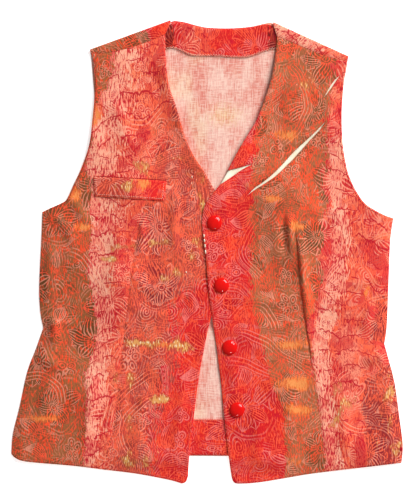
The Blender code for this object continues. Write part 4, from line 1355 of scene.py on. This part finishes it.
# A printed piece. Its grounds' edges are sharp below a height, its cracks climb by lean, and
# shift gives it its own stretch of the print
Printed = namedtuple("Printed", "name zones washes sharp_below bars strokes arcs lean shift")
PRINTED = {
    "left": Printed("left front print", LEFT_ZONES, LEFT_WASHES_AND_SHADE, 28.0, LEFT_BARS, LEFT_STROKES,
                    LEFT_ARCS, 0.24, 0.0),
    "right": Printed("right front print", RIGHT_ZONES, RIGHT_WASHES_AND_SHADE, -95.0, RIGHT_BARS, RIGHT_STROKES,
                     RIGHT_ARCS, -0.22, 140.0),
    "neck": Printed("neck facing print", NECK_ZONES, (), -300.0, (), (), (), 0.0, 400.0),
    "hem": Printed("hem facing print", HEM_ZONES, (), -300.0, (), (), (), 0.0, 500.0),
    "welt": Printed("pocket welt print", WELT_ZONES, (), -300.0, WELT_BARS, WELT_STROKES, (), 0.0, 730.0),
    "back": Printed("back print", BACK_ZONES, (), -300.0, (), (), (), 0.1, 900.0),
}


def shades(ground):
    """The colours of a ground, and a last one that holds its three amounts."""
    return [ground.cloth, ground.deep, ground.stray, ground.odd, ground.line, ground.dash,
            (ground.dashes, ground.lines, ground.cracks, 1.0)]


# How strongly each coat of colour is laid on
STRAY_COAT = 0.8
ODD_COAT = 0.75
WASH_COAT = 0.6
FILL_COAT = 0.7
SLOW_COAT = 0.25
DASH_COAT = 0.85
INK_CHANGE = 0.8
FAINT_INK = 0.4
STEM_COAT = 0.95
SHADOW_COAT = 0.4
CRACK_COAT = 0.9
BAR_COAT = 0.75
BAR_GLOW_COAT = 0.5
BRONZE_COAT = 0.6
STRAND_COAT = 0.78
FLECK_COAT = 0.55
BEND_WIDTH = 60
RAGGED_EASE = (-8.0, 20.0)

# Noise that the marks of one print share: brush streaks, and broader unevenness
Noise = namedtuple("Noise", "streak fine broad slow blots")


def noise_of(cut):
    """The shared noise at a place in the cut cloth."""
    return Noise(
        streak=mottle(cut, 1.9, 9.5, 1.0, 2.2),
        fine=mottle(cut, 1.3, 4.6, 0.0, 2.2),
        broad=mottle(cut, 36.0, 44.0, 2.0, 2.2),
        slow=mottle(cut, 70.0, 90.0, 0.0, 2.0),
        blots=mottle(cut, 15.0, 22.0, 2.0, 2.4),
    )


def ground_here(piece, noise, x, y):
    """The shades of the ground at a place, with dry-brushed borders between the grounds."""
    loose = rise(y, piece.sharp_below + RAGGED_EASE[0], piece.sharp_below + RAGGED_EASE[1])
    colours = shades(piece.zones[0].ground)
    for zone in piece.zones[1:]:
        ragged = (noise.streak - 0.5) * 1.5 * zone.ragged + (noise.blots - 0.5) * zone.ragged * 1.2
        here = rise(x - edge_x(y, zone.edge) + ragged * (loose * 0.45 + 0.55), -0.5, 0.5)
        colours = [blend(here, *pair) for pair in zip(colours, shades(zone.ground))]
    return colours


def drawn_motifs(lay, cut, arcs):
    """Lines, fills and stems, on cloth that is bent a little so that nothing is mechanical."""
    bend = cut.finish.node(
        "ShaderNodeTexNoise", {"noise_dimensions": "2D"},
        {"Vector": vector_maths("MULTIPLY", cut, (1 / BEND_WIDTH, 1 / BEND_WIDTH, 0.0)),
         "Scale": 1.0, "Detail": 1.2})
    bend = vector_maths("SUBTRACT", bend.also("Color"), (0.5, 0.5, 0.5))
    bent = vector_maths("MULTIPLY_ADD", bend, (MOTIF_BEND, MOTIF_BEND, 0.0), cut)
    large = large_motifs(bent)
    small = small_motifs(bent)
    leaf = leaves(bent)
    small_here = rise(small.around, 1.6, 1.2)
    large_here = rise(large.around, 7.4, 7.0)
    between = choose(leaf.fill, pen_line(echo(small.around, 3.6), 1.2) * 0.6, leaf.lines * 0.8)
    lines = choose(large_here, choose(small_here, between, small.lines), large.lines)
    fill = choose(large_here, choose(small_here, leaf.fill * 0.5, small.fill * 0.8), large.fill)
    if not arcs:
        return lines, fill, None
    bent_lay = vector_maths("MULTIPLY_ADD", bend, (STEM_BEND, STEM_BEND, 0.0), lay)
    stem_lines, stems_here = stems(bent_lay, arcs)
    return choose(stems_here, lines, stem_lines), fill * (1 - stems_here), stem_lines


def cracks_across(cut, noise, slope):
    """Cracks that run across, broken and dripping, where slope is the height less the lean."""
    wave = mottle(cut, 30.0, 60.0, 1.0) * 24.0 + mottle(cut, 4.0, 60.0, 1.0) * 4.0
    phase = maths("FLOORED_MODULO", slope + wave + noise.slow * 16.0, CRACK_PITCH)
    unbroken = rise(mottle(cut, 15.0, 20.0, 0.0, 2.0), 0.3, 0.44)
    crack = pen_line(abs(phase - CRACK_PLACE), 1.6) * unbroken
    drop = CRACK_PLACE - phase
    dripping = rise(noise.streak * 0.6 + noise.fine * 0.4 - drop * 0.022, 0.5, 0.6)
    drips = dripping * rise(drop, 0.0, 0.5)
    return most(crack, drips * rise(noise.broad, 0.3, 0.6))


def brushed_bars(colour, depth, noise):
    """Orange bars with a lighter middle."""
    depth = depth + (noise.streak - 0.5) * 0.7 + (noise.blots - 0.5) * 0.5
    colour = blend(rise(depth, 0.1, 0.7) * BAR_COAT, colour, ORANGE)
    return blend(rise(depth + noise.fine * 0.4, 0.7, 1.3) * BAR_GLOW_COAT, colour, GOLD)


def brushed_strokes(colour, depth, noise):
    """Thin gold strokes on bronze, with cream flecks."""
    depth = depth + (noise.blots - 0.5) * 1.3
    colour = blend(rise(depth + noise.streak * 0.3, 0.2, 0.8) * BRONZE_COAT, colour, BRONZE)
    strands = rise(depth * 0.6 + noise.fine * 0.3 + noise.streak * 0.5, 0.72, 1.02)
    colour = blend(strands * STRAND_COAT, colour, GOLD)
    return blend(rise(depth * 0.4 + noise.fine, 1.3, 1.44) * FLECK_COAT, colour, CREAM)


def print_finish(piece):
    """Cotton printed with bands of ground colour, drawn motifs, dry-brush dashes and cracks."""
    finish = Finish(piece.name)
    lay = map_place(finish, "Lay")
    cut = map_place(finish, "Cut", piece.shift)
    x, y = parts(lay)
    noise = noise_of(cut)
    streak, fine, broad, slow, blots = noise
    cloth, deep, stray, odd, ink, dash, amounts = ground_here(piece, noise, x, y)
    dashes = finish.node("ShaderNodeSeparateColor", {}, {0: amounts})
    inked = dashes.also(1)
    cracked = dashes.also(2)
    motifs, fill, stem_lines = drawn_motifs(lay, cut, piece.arcs)

    # Coats of colour, from the cloth up
    colour = blend(rise(broad + (streak - 0.5) * 0.4, 0.46, 0.74) * STRAY_COAT, cloth, stray)
    colour = blend(rise(blots + (streak - 0.5) * 0.4, 0.54, 0.76) * ODD_COAT, colour, odd)
    # Washes of colour, some of them painted shade
    for wash in piece.washes:
        depth = patch_strength(lay, wash.patches) + (blots - 0.5) * 0.9 + (streak - 0.5) * 0.4
        colour = blend(rise(depth, 0.0, 0.9) * WASH_COAT, colour, wash.colour)
    colour = blend(fill * FILL_COAT + rise(slow, 0.35, 0.9) * SLOW_COAT, colour, deep)
    hatch = rise(streak * 0.75 + fine * 0.5 + broad * 0.36 + dashes * 0.8, 1.15, 1.27)
    colour = blend(hatch * DASH_COAT, colour, dash)
    ink = blend(rise(mottle(cut, 26.0, 34.0, 1.0, 2.4), 0.56, 0.64) * INK_CHANGE, ink, dash)
    marks = motifs * choose(FAINT_INK, 1.0, rise(blots, 0.25, 0.6))
    if piece.arcs:
        marks = most(marks, stem_lines * STEM_COAT)
    colour = blend(marks * inked, colour, ink)
    colour = blend(rise(fine, 0.22, 0.08) * SHADOW_COAT, colour, deep)
    cracks = cracks_across(cut, noise, y - x * piece.lean) * cracked
    colour = blend(cracks * CRACK_COAT, colour, CRIMSON)
    if piece.bars:
        colour = brushed_bars(colour, patch_strength(lay, piece.bars), noise)
    if piece.strokes:
        colour = brushed_strokes(colour, patch_strength(lay, piece.strokes), noise)

    colour = shaded(colour, mottle(cut, 1.1, 1.3, 1.0, 1.0) * 0.5 + 0.76)
    finish.set(Base_Color=colour, Roughness=0.88, Specular_IOR_Level=0.08, Sheen_Weight=0.04,
               Sheen_Roughness=0.5)
    return woven(finish, PRINT_WEAVE)


THREAD_PITCH = 0.75
# Strength and depth, in metres, of the weave's relief
PRINT_WEAVE = (0.35, 0.00012)
PLAIN_WEAVE = (0.4, 0.00015)


def woven(finish, weave):
    """A finish's material, with a plain weave of uneven threads in relief."""
    cut = map_place(finish, "Cut")
    x, y = parts(cut)
    rate = 2 * math.pi / THREAD_PITCH
    over = maths("SINE", x * rate) * maths("SINE", y * rate)
    slubs = mottle(cut, 1.2, 14.0, 1.0) + mottle(cut, 14.0, 1.2, 1.0)
    relief = {"Strength": weave[0], "Distance": weave[1], "Height": over * 0.5 + slubs}
    finish.set(Normal=finish.node("ShaderNodeBump", {}, relief))
    return finish.material


STAIN = Patch(22.0, 178.0, 30.0, 20.0, 0.8)


def reverse_finish(name):
    """The wrong side of the printed cotton: pale, with the colour struck through along threads."""
    finish = Finish(name)
    cut = map_place(finish, "Cut")
    patches = mottle(cut, 30.0, 46.0, 2.0, 2.4)
    warm = mottle(cut, 42.0, 62.0, 1.0, 2.4)
    down = mottle(cut, 1.2, 15.0, 1.0, 2.2)
    across = mottle(cut, 12.0, 1.2, 1.0, 2.2)
    spots = mottle(cut, 3.0, 4.0, 2.0, 2.0)
    colour = blend(rise(patches, 0.2, 0.85), linear(246, 198, 182), linear(237, 164, 148))
    colour = blend(rise(warm, 0.5, 1.0) * 0.4, colour, linear(250, 218, 176))
    stain = patch_strength(map_place(finish, "Lay"), (STAIN,)) + (spots - 0.5) * 0.6
    colour = blend(rise(stain, 0.1, 1.1) * 0.55, colour, linear(246, 216, 150))
    marks = most(rise(down, 0.5, 0.85), rise(across, 0.52, 0.9) * 0.8)
    colour = blend(marks * (rise(patches, 0.1, 0.7) * 0.28 + 0.23), colour, linear(216, 86, 76))
    pale = most(rise(down, 0.4, 0.15), rise(across, 0.38, 0.15))
    colour = blend(pale * 0.32, colour, linear(255, 236, 220))
    colour = blend(rise(spots, 0.7, 0.85) * 0.2, colour, linear(190, 84, 74))
    finish.set(Base_Color=colour, Roughness=0.9, Specular_IOR_Level=0.08, Sheen_Weight=0.04)
    return woven(finish, PLAIN_WEAVE)


def cream_finish(name):
    """Plain cream cotton."""
    finish = Finish(name)
    tone = mottle(map_place(finish, "Cut"), 9.0, 12.0, 2.0, 1.8)
    colour = blend(tone, linear(246, 236, 204), linear(255, 252, 232))
    finish.set(Base_Color=colour, Roughness=0.9, Specular_IOR_Level=0.1)
    return woven(finish, PLAIN_WEAVE)


def cloud_in(finish, scale, detail):
    """Noise through the body of a piece."""
    spot = finish.node("ShaderNodeTexCoord", {}, {}).also("Object")
    return finish.node("ShaderNodeTexNoise", {}, {"Vector": spot, "Scale": scale, "Detail": detail})


def thread_finish(name, colour, other):
    """Sewing thread, with a twist that shows as lighter and darker turns."""
    finish = Finish(name)
    turns = cloud_in(finish, 900.0, 1.0)
    finish.set(Base_Color=blend(rise(turns, 0.35, 0.65), colour, other), Roughness=0.7,
               Specular_IOR_Level=0.2)
    return finish.material


def enamel_finish(name):
    """Glossy red plastic, with faint uneven depth of colour."""
    finish = Finish(name)
    cloud = cloud_in(finish, 160.0, 2.0)
    colour = blend(cloud, linear(238, 22, 14), linear(214, 8, 10))
    finish.set(Base_Color=colour, Roughness=rise(cloud, 0.2, 1.4) * 0.2 + 0.1,
               Specular_IOR_Level=0.3)
    return finish.material


def add_camera():
    camera = bpy.data.cameras.new("camera")
    camera.sensor_fit = "VERTICAL"
    camera.sensor_height = SENSOR_HEIGHT
    camera.lens = LENS
    camera.clip_end = 50.0
    holder = bpy.data.objects.new("camera", camera)
    distance = VIEW_HEIGHT * LENS / SENSOR_HEIGHT
    holder.location = (VIEW_CENTRE[0] * MM, VIEW_CENTRE[1] * MM, (distance + FACE_LEVEL) * MM)
    bpy.context.collection.objects.link(holder)
    bpy.context.scene.camera = holder


Lamp = namedtuple("Lamp", "name azimuth elevation distance size power")
LAMPS = (
    Lamp("key", 48.0, 34.0, 6.0, 3.2, 520.0),
    Lamp("cap_glint", -80.0, 38.0, 2.0, 0.1, 6.0),
)
SKY = 0.2
SKY_COLOUR = (1.0, 0.995, 0.985, 1.0)
FLOOR_GLOW = 0.6
FLOOR_REACH = 4.0
FLOOR_LEVEL = -0.0001


def add_light():
    scene = bpy.context.scene
    scene.view_settings.view_transform = "Standard"
    world = bpy.data.worlds.new("studio")
    world.use_nodes = True
    background = world.node_tree.nodes["Background"]
    background.inputs["Color"].default_value = SKY_COLOUR
    background.inputs["Strength"].default_value = SKY
    scene.world = world
    for lamp in LAMPS:
        light = bpy.data.lights.new(lamp.name, "AREA")
        light.size = lamp.size
        light.energy = lamp.power
        holder = bpy.data.objects.new(lamp.name, light)
        azimuth = math.radians(lamp.azimuth)
        elevation = math.radians(lamp.elevation)
        holder.location = (
            lamp.distance * math.cos(elevation) * math.cos(azimuth),
            lamp.distance * math.cos(elevation) * math.sin(azimuth),
            lamp.distance * math.sin(elevation),
        )
        holder.rotation_euler = (math.pi / 2 - elevation, 0.0, azimuth + math.pi / 2)
        bpy.context.collection.objects.link(holder)


def add_floor():
    mesh = bpy.data.meshes.new("floor")
    corners = [(x * FLOOR_REACH, y * FLOOR_REACH, 0) for x, y in ((-1, -1), (1, -1), (1, 1), (-1, 1))]
    mesh.from_pydata(corners, [], [(0, 1, 2, 3)])
    finish = Finish("pale table")
    finish.set(Base_Color=(0.93, 0.93, 0.93, 1.0), Roughness=0.9, Specular_IOR_Level=0.1,
               Emission_Color=(1.0, 1.0, 1.0, 1.0), Emission_Strength=FLOOR_GLOW)
    mesh.materials.append(finish.material)
    floor = bpy.data.objects.new("floor", mesh)
    floor.location.z = FLOOR_LEVEL
    bpy.context.collection.objects.link(floor)


def wall_faces(rings, sides):
    """Faces between rings of corners that follow each other."""
    faces = []
    for ring in range(rings - 1):
        for side in range(sides):
            a = ring * sides + side
            b = ring * sides + (side + 1) % sides
            faces.append((a, a + sides, b + sides, b))
    return faces


def end_faces(rings, sides):
    """A face over the first ring, and one over the last."""
    first = tuple(range(sides))
    last = tuple((rings - 1) * sides + side for side in reversed(range(sides)))
    return [first, last]


STITCH_SIDES = 6
STITCH_RINGS = ((0.0, 0.25, -0.8), (0.12, 0.8, -0.1), (0.32, 1.0, 0.5), (0.5, 1.0, 0.62),
                (0.68, 1.0, 0.5), (0.88, 0.8, -0.1), (1.0, 0.25, -0.8))


def stitch_shape():
    """One stitch of unit length and radius along x, its ends dipping into the cloth."""
    corners = []
    for share, girth, lift in STITCH_RINGS:
        for side in range(STITCH_SIDES):
            angle = 2 * math.pi * side / STITCH_SIDES
            corners.append((share - 0.5, girth * math.cos(angle), girth * math.sin(angle) + lift))
    rings = len(STITCH_RINGS)
    return np.array(corners), wall_faces(rings, STITCH_SIDES) + end_faces(rings, STITCH_SIDES)


def repeated(name, copies, faces, finish):
    """One mesh from many copies of the same corners."""
    count = copies.shape[1]
    starts = range(0, len(copies) * count, count)
    all_faces = [tuple(start + i for i in face) for start in starts for face in faces]
    mesh = bpy.data.meshes.new(name)
    mesh.from_pydata(copies.reshape(-1, 3) * MM, [], all_faces)
    mesh.materials.append(finish)
    mesh.shade_smooth()
    return link(name, mesh, None)


def stitches(name, rows, height, finish, slot, share=0.76, radius=0.28):
    """Stitches between each two points of each row, on the cloth whose upper face is at height."""
    shape, faces = stitch_shape()
    copies = []
    for points in rows:
        middles = (points[1:] + points[:-1]) / 2
        steps = points[1:] - points[:-1]
        along = unit(steps)
        left = np.column_stack([-along[:, 1], along[:, 0]])
        flat = (
            middles[:, None, :]
            + steps[:, None, :] * shape[None, :, 0:1] * share
            + left[:, None, :] * shape[None, :, 1:2] * radius
        )
        lifted = height(middles)[:, None] + shape[None, :, 2] * radius
        copies.append(np.concatenate([flat, lifted[:, :, None]], axis=2))
    return repeated(name, np.concatenate(copies), faces, finish)


def overlock(rows, depth, pitch=1.7):
    """A zigzag between an edge and a line beside it."""
    edge = smooth_curve(rows, pitch)
    inward = left_normals(edge) * depth
    inward[::2] *= 0.05
    return edge + inward


# side is 1 where the loose ends point to the left of the edge, and -1 to its right
Fray = namedtuple("Fray", "side length spacing seed")
FRAY_ROOT = 0.8


def frayed(name, rows, fray, height, finish):
    """Loose thread ends along a raw edge, pointing out of the cloth."""
    chance = np.random.RandomState(fray.seed)
    edge = smooth_curve(rows, fray.spacing)[1:-1]
    edge = edge + chance.uniform(-0.5, 0.5, edge.shape) * fray.spacing
    outward = left_normals(edge) * fray.side
    beside = np.column_stack([-outward[:, 1], outward[:, 0]])
    lean = chance.uniform(-1.0, 1.0, (len(edge), 1)) * beside
    lengths = fray.length * chance.uniform(0.5, 1.5, len(edge))
    starts = edge - outward * FRAY_ROOT
    return threads(name, starts, outward + lean, lengths, height, finish, fray.seed)


HAIR_RINGS = 6
HAIR_SIDES = 4
HAIR_RADIUS = 0.16


def threads(name, starts, ways, lengths, height, finish, seed):
    """Loose thread ends: thin tapered hairs that wander from starts in the given ways."""
    chance = np.random.RandomState(seed)
    steps = HAIR_RINGS - 1
    count = len(starts)
    turn = chance.uniform(-0.9, 0.9, count)
    heading = np.arctan2(ways[:, 1], ways[:, 0]) + chance.uniform(-0.35, 0.35, count)
    lift = chance.uniform(0.1, 0.9, count)
    here = np.array(starts, float)
    corners = []
    for ring in range(HAIR_RINGS):
        share = ring / steps
        girth = HAIR_RADIUS * (1.0 - 0.7 * share)
        aside = np.column_stack([-np.sin(heading), np.cos(heading)])
        z = height(here) + HAIR_RADIUS + lift * math.sin(math.pi * share)
        for side in range(HAIR_SIDES):
            angle = 2 * math.pi * side / HAIR_SIDES
            flat = here + aside * girth * math.cos(angle)
            corners.append(np.column_stack([flat, z + girth * math.sin(angle)]))
        way = np.column_stack([np.cos(heading), np.sin(heading)])
        here = here + way * lengths[:, None] / steps
        heading = heading + turn / steps + chance.uniform(-0.15, 0.15, count)
    walls = [face[::-1] for face in wall_faces(HAIR_RINGS, HAIR_SIDES)]
    faces = walls + end_faces(HAIR_RINGS, HAIR_SIDES)
    return repeated(name, np.array(corners).transpose(1, 0, 2), faces, finish)


CAP_PROFILE = (
    (1.0, -0.25), (1.0, 0.0), (1.0, 0.55), (0.99, 0.9), (0.965, 1.3), (0.93, 1.75), (0.87, 2.25),
    (0.79, 2.75), (0.69, 3.2), (0.57, 3.6), (0.44, 3.88), (0.3, 4.06), (0.16, 4.16), (0.05, 4.2),
)
CAP_TURNS = 72
CAP_SHARP_ANGLE = math.radians(60)


def add_caps(finish):
    """Domed caps, turned from their profile, where the solids are."""
    angles = np.arange(CAP_TURNS) * 2 * math.pi / CAP_TURNS
    rings = np.array([
        (CAP_RADIUS * radius * np.cos(angles), CAP_RADIUS * radius * np.sin(angles),
         np.full(CAP_TURNS, height))
        for radius, height in CAP_PROFILE
    ])
    shape = rings.transpose(0, 2, 1).reshape(-1, 3)
    turned = wall_faces(len(CAP_PROFILE), CAP_TURNS) + end_faces(len(CAP_PROFILE), CAP_TURNS)
    faces = [face[::-1] for face in turned]
    for node, centre, seat in zip(CAP_NODES, CAP_CENTRES, CAP_SEATS):
        mesh = bpy.data.meshes.new(node + "_turned")
        mesh.from_pydata((shape + (*centre, seat)) * MM, [], faces)
        mesh.materials.append(finish)
        mesh.shade_smooth()
        mesh.set_sharp_from_angle(angle=CAP_SHARP_ANGLE)
        link(node + "_turned", mesh, node)


NECK_TURNING = 7.0
LEFT_TAKE_UP = 15.0
RIGHT_TAKE_UP = 17.0


def dart_cut(dart, take_up):
    """How far each side of a dart lies from its place in the printed cloth before it was sewn."""
    top = dart[0][1]
    bottom = dart[-1][1]

    def shift(points):
        share = np.clip((top - points[:, 1]) / (top - bottom), 0.0, 1.0)
        return np.column_stack([side_of(points, dart) * share * take_up / 2, np.zeros(len(points))])

    return shift


WELT_OPENING = 0.9
WELT_OPENING_REACH = 16.0
FACING_ROUND = 0.5
SMALL_PIECE_STEP = 4.0


def welt_plan():
    return plan_mesh(outline(zip(WELT_CORNERS, WELT_CORNERS[1:] + WELT_CORNERS[:1])))


def welt_height(points):
    """The welt follows the front, and its upper edge stands a little open."""
    top_edge = distance_to(points, WELT_CORNERS[:2])
    opening = WELT_OPENING * (1.0 - ease(top_edge / WELT_OPENING_REACH))
    return left_height(points) + CLOTH + SEAM + opening


def welt_face(points):
    return welt_height(points) + CLOTH


def neck_facing_plan():
    curves = (NECK_FACING_LOWER, (NECK_FACING_LOWER[-1], NECK_FACING_UPPER[0]),
              NECK_FACING_UPPER, (NECK_FACING_UPPER[-1], NECK_FACING_LOWER[0]))
    return plan_mesh(outline(curves), edge_round=FACING_ROUND)


def facing_height(points):
    return np.full(len(points), FACING_LEVEL)


def facing_face(points):
    return facing_height(points) + CLOTH


def hem_facing_rows(above_hem):
    rows = smooth_curve(BACK_HEM, EDGE_STEP)
    return rows[np.abs(rows[:, 0]) < HEM_FACING_REACH] + (0.0, above_hem)


def hem_facing_plan():
    loop = loop_of([hem_facing_rows(HEM_FACING_INSET), hem_facing_rows(HEM_DEPTH)[::-1]])
    return plan_mesh(loop, step=SMALL_PIECE_STEP, edge_round=FACING_ROUND)


def backing_plan():
    curves = (BACKING_NECK, BACKING_OUTER, BACKING_ARMHOLE, BACKING_INNER)
    return plan_mesh(outline(curves), step=SMALL_PIECE_STEP)


def backing_height(points):
    """The cream under-layer hangs just under the right front."""
    return right_height(points) - SEAM - BACKING_CLOTH


def inner_line(rows, distance):
    """A line beside an edge that is given with the cloth on its left."""
    curve = smooth_curve(rows, 3.0)
    return curve + left_normals(curve) * distance


# Distances of the stitching from the edges
FRONT_INSET = 2.6
NECK_INSET = 2.4
LEFT_ARMHOLE_INSET = 1.8
RIGHT_ARMHOLE_INSET = 2.2
OVERLOCK_DEPTH = 2.6
# Kinds of stitch: the share of its step that it fills, and its radius
ARMHOLE_STITCH = (0.96, 0.34)
# A cord that lies along the welt's upper seam as painted shade of the pocket's opening
SHADE_CORD_STITCH = (1.05, 0.5)
OVERLOCK_STITCH = (1.0, 0.22)
REPAIR_STITCH = (0.94, 0.85)
KNOT_STITCH = (1.0, 0.7)
TACK_STITCH = (1.0, 0.5)

# Small sewing: rows of points with a stitch between each two
WELT_INNER = ((-144.6, 95.4), (-143.6, 75.0), (-58.0, 69.2), (-56.0, 89.8))
# The line of the cord that is painted shade at the welt's opening
WELT_SHADE_LINE = ((-147.4, 99.0), (-100.0, 96.2), (-53.0, 93.2))
EDGE_MARKS = [
    np.array(row) for row in (
        ((-4.0, 23.4), (-3.8, 19.0)), ((-3.5, 17.4), (-3.1, 12.4)), ((-2.9, 11.0), (-2.5, 5.2)),
        ((-2.2, 3.4), (-1.6, -2.8)))
]
CREAM_KNOTS = [
    np.array(row) for row in (((-19.8, 99.0), (-19.2, 96.4)), ((-27.2, -25.0), (-26.6, -27.6)))
]
BAR_TACK = [np.array(((x, -253.4), (x + 0.2, -259.4))) for x in (251.0, 251.9, 252.8, 253.6)]


# The back is quiet at its shoulders, its hem and its sides
BACK_WAVE = 0.1
BACK_WAVE_INSIDE = 0.3
BACK_QUIET_TOP = 244.0
BACK_QUIET_LOW = -206.0
BACK_QUIET_EASE = 30.0
BACK_SIDE_EASE = 40.0
SHOULDER_EASE = 20.0
BACK_EDGE_DROP = 0.25


def back_swell(points):
    """Height added to the inside of the back."""
    beyond_fold = np.maximum(LEFT_FOLD.distance(points), RIGHT_FOLD.distance(points))
    sides = np.minimum(distance_to(points, LEFT_SIDE), distance_to(points, RIGHT_SIDE))
    room = (ease((BACK_QUIET_TOP - points[:, 1]) / BACK_QUIET_EASE)
            * ease((points[:, 1] - BACK_QUIET_LOW) / BACK_QUIET_EASE) * ease(sides / BACK_SIDE_EASE))
    wave = waves(points) * (BACK_WAVE + BACK_WAVE_INSIDE * room)
    return np.maximum(0.0, wave * ease(-beyond_fold / SHOULDER_EASE))


def add_back(face, reverse):
    """The back, inside up, with the print showing at its turned neck edge and over the shoulders."""
    plan = back_plan()
    half = CLOTH / 2
    drop = plan.rim * BACK_EDGE_DROP
    upper = back_points(plan.points, half - drop)
    upper[:, 2] += back_swell(plan.points)
    lower = back_points(plan.points, -half + drop)
    back = shell("back_cloth", plan, lower, upper, (reverse, face, face), "back")
    middles = plan.points[plan.faces].mean(axis=1)
    turned_edge = distance_to(middles, BACK_NECK) < NECK_TURNING
    for fold in (LEFT_FOLD, RIGHT_FOLD):
        turned_edge |= fold.distance(middles) > -0.5
    for number in np.flatnonzero(turned_edge):
        back.data.polygons[number].material_index = 1
    declare(plan, (510.0, 604.0))
    return back


def add_cloth(prints, reverse, cream):
    """Every layer of cloth, from the table up."""
    back = add_back(prints["back"], reverse)
    lay_piece("neck_facing_cloth", neck_facing_plan(), facing_height, prints["neck"], reverse,
              "neck_facing", (161.0, 45.0))
    lay_piece("hem_facing_cloth", hem_facing_plan(), facing_height, prints["hem"], reverse,
              "back_hem_facing", (444.0, 47.0))
    left_front = lay_piece(
        "left_front_cloth", left_front_plan(), left_height, prints["left"], reverse,
        "front_left", (277.0, 585.0), dart_cut(LEFT_DART, LEFT_TAKE_UP))
    lay_piece("right_front_cloth", right_front_plan(), lipped_height, prints["right"], reverse,
              "front_right", (262.0, 583.0),
              dart_cut(RIGHT_DART, RIGHT_TAKE_UP))
    lay_piece("cream_under_layer", backing_plan(), backing_height, cream, cream,
              "rip_backing", (158.0, 183.0), thickness=BACKING_CLOTH)
    lay_piece("pocket_welt_cloth", welt_plan(), welt_height, prints["welt"], reverse,
              "pocket_welt", (96.0, 33.0))


def add_edge_sewing(coral, crimson):
    """Stitching beside the edges of both fronts."""
    stitches("left_edge_stitches", [
        inner_line(LEFT_NECKLINE, NECK_INSET), inner_line(LEFT_FRONT_EDGE, FRONT_INSET),
        inner_line(LEFT_HEM, FRONT_INSET),
    ], left_face, coral, "left_front_print")
    stitches("right_edge_stitches", [
        inner_line(RIGHT_NECKLINE, -NECK_INSET), inner_line(RIGHT_FRONT_EDGE, -FRONT_INSET),
        inner_line(RIGHT_HEM[::-1], FRONT_INSET),
    ], right_face, coral, "right_front_print")
    left_armhole = inner_line(front_armhole(LEFT_ARMHOLE, 1), LEFT_ARMHOLE_INSET)
    stitches("left_armhole_stitches", [left_armhole], left_face, crimson, "left_front_print",
             *ARMHOLE_STITCH)
    right_armhole = inner_line(front_armhole(RIGHT_ARMHOLE, -1), -RIGHT_ARMHOLE_INSET)
    stitches("right_armhole_stitches", [right_armhole], right_face, crimson, "right_front_print",
             *ARMHOLE_STITCH)


def add_welt_sewing(pale, crimson):
    """Stitching round the welt, and a crimson cord along its upper seam that is painted shade for the
    pocket's opening.
    """
    rows = [smooth_curve(WELT_INNER[i:i + 2], 3.0) for i in range(3)]
    stitches("welt_edge_stitches", rows, welt_face, pale, "welt_print")
    stitches("welt_opening_shade_cord", [smooth_curve(WELT_SHADE_LINE, 2.4)], left_face, crimson,
             "left_front_print", *SHADE_CORD_STITCH)


def add_facing_sewing(pale, coral):
    """Overlocked raw edges of the two facings, with their loose ends."""
    stitches("neck_facing_overlock", [overlock(NECK_FACING_LOWER, -OVERLOCK_DEPTH)], facing_face, pale,
             "facing_print", *OVERLOCK_STITCH)
    frayed("neck_facing_fray", NECK_FACING_LOWER, Fray(1, 2.6, 1.3, 11), facing_face, pale)
    hem_edge = hem_facing_rows(HEM_DEPTH)
    stitches("hem_facing_overlock", [overlock(hem_edge, -OVERLOCK_DEPTH)], facing_face, coral,
             "facing_print", *OVERLOCK_STITCH)
    frayed("hem_facing_fray", hem_edge, Fray(1, 3.0, 1.1, 12), facing_face, coral)


def add_rip_fray(pale, crimson):
    """Loose ends along the rips in the right front."""
    for name, rips, seed in (("long_rip", LONG_RIP, 13), ("short_rip", SHORT_RIP, 14)):
        upper, lower = rip_sides(rips)[1:]
        frayed(name + "_upper_fray", upper, Fray(-1, 1.5, 2.2, seed), right_face, crimson)
        frayed(name + "_lower_fray", lower, Fray(1, 1.0, 3.4, seed + 10), right_face, pale)
    frayed("notch_fray", NOTCH_LOWER, Fray(1, 1.4, 2.0, 15), right_face, crimson)


def add_repairs(cream, crimson):
    """Small stitches by hand."""
    stitches("edge_repair_stitches", EDGE_MARKS, right_face, cream, "right_front_print",
             *REPAIR_STITCH)
    stitches("cream_knots", CREAM_KNOTS, left_face, cream, "left_front_print", *KNOT_STITCH)
    stitches("side_bar_tack", BAR_TACK, right_face, crimson, "right_front_print", *TACK_STITCH)


def main():
    add_camera()
    add_light()
    add_floor()

    prints = {key: print_finish(piece) for key, piece in PRINTED.items()}
    reverse = reverse_finish("back cloth, reverse side")
    cream = cream_finish("cream cotton")
    enamel = enamel_finish("red snap enamel")
    coral_thread = thread_finish("coral thread", linear(236, 120, 100), linear(206, 70, 62))
    pale_thread = thread_finish("pale thread", linear(250, 214, 190), linear(226, 160, 140))
    cream_thread = thread_finish("cream thread", linear(255, 248, 228), linear(236, 214, 186))
    crimson_thread = thread_finish("crimson thread", linear(196, 26, 40), linear(160, 14, 30))

    add_cloth(prints, reverse, cream)
    add_caps(enamel)
    add_edge_sewing(coral_thread, crimson_thread)
    add_welt_sewing(pale_thread, crimson_thread)
    add_facing_sewing(pale_thread, coral_thread)
    add_rip_fray(pale_thread, crimson_thread)
    add_repairs(cream_thread, crimson_thread)


main()
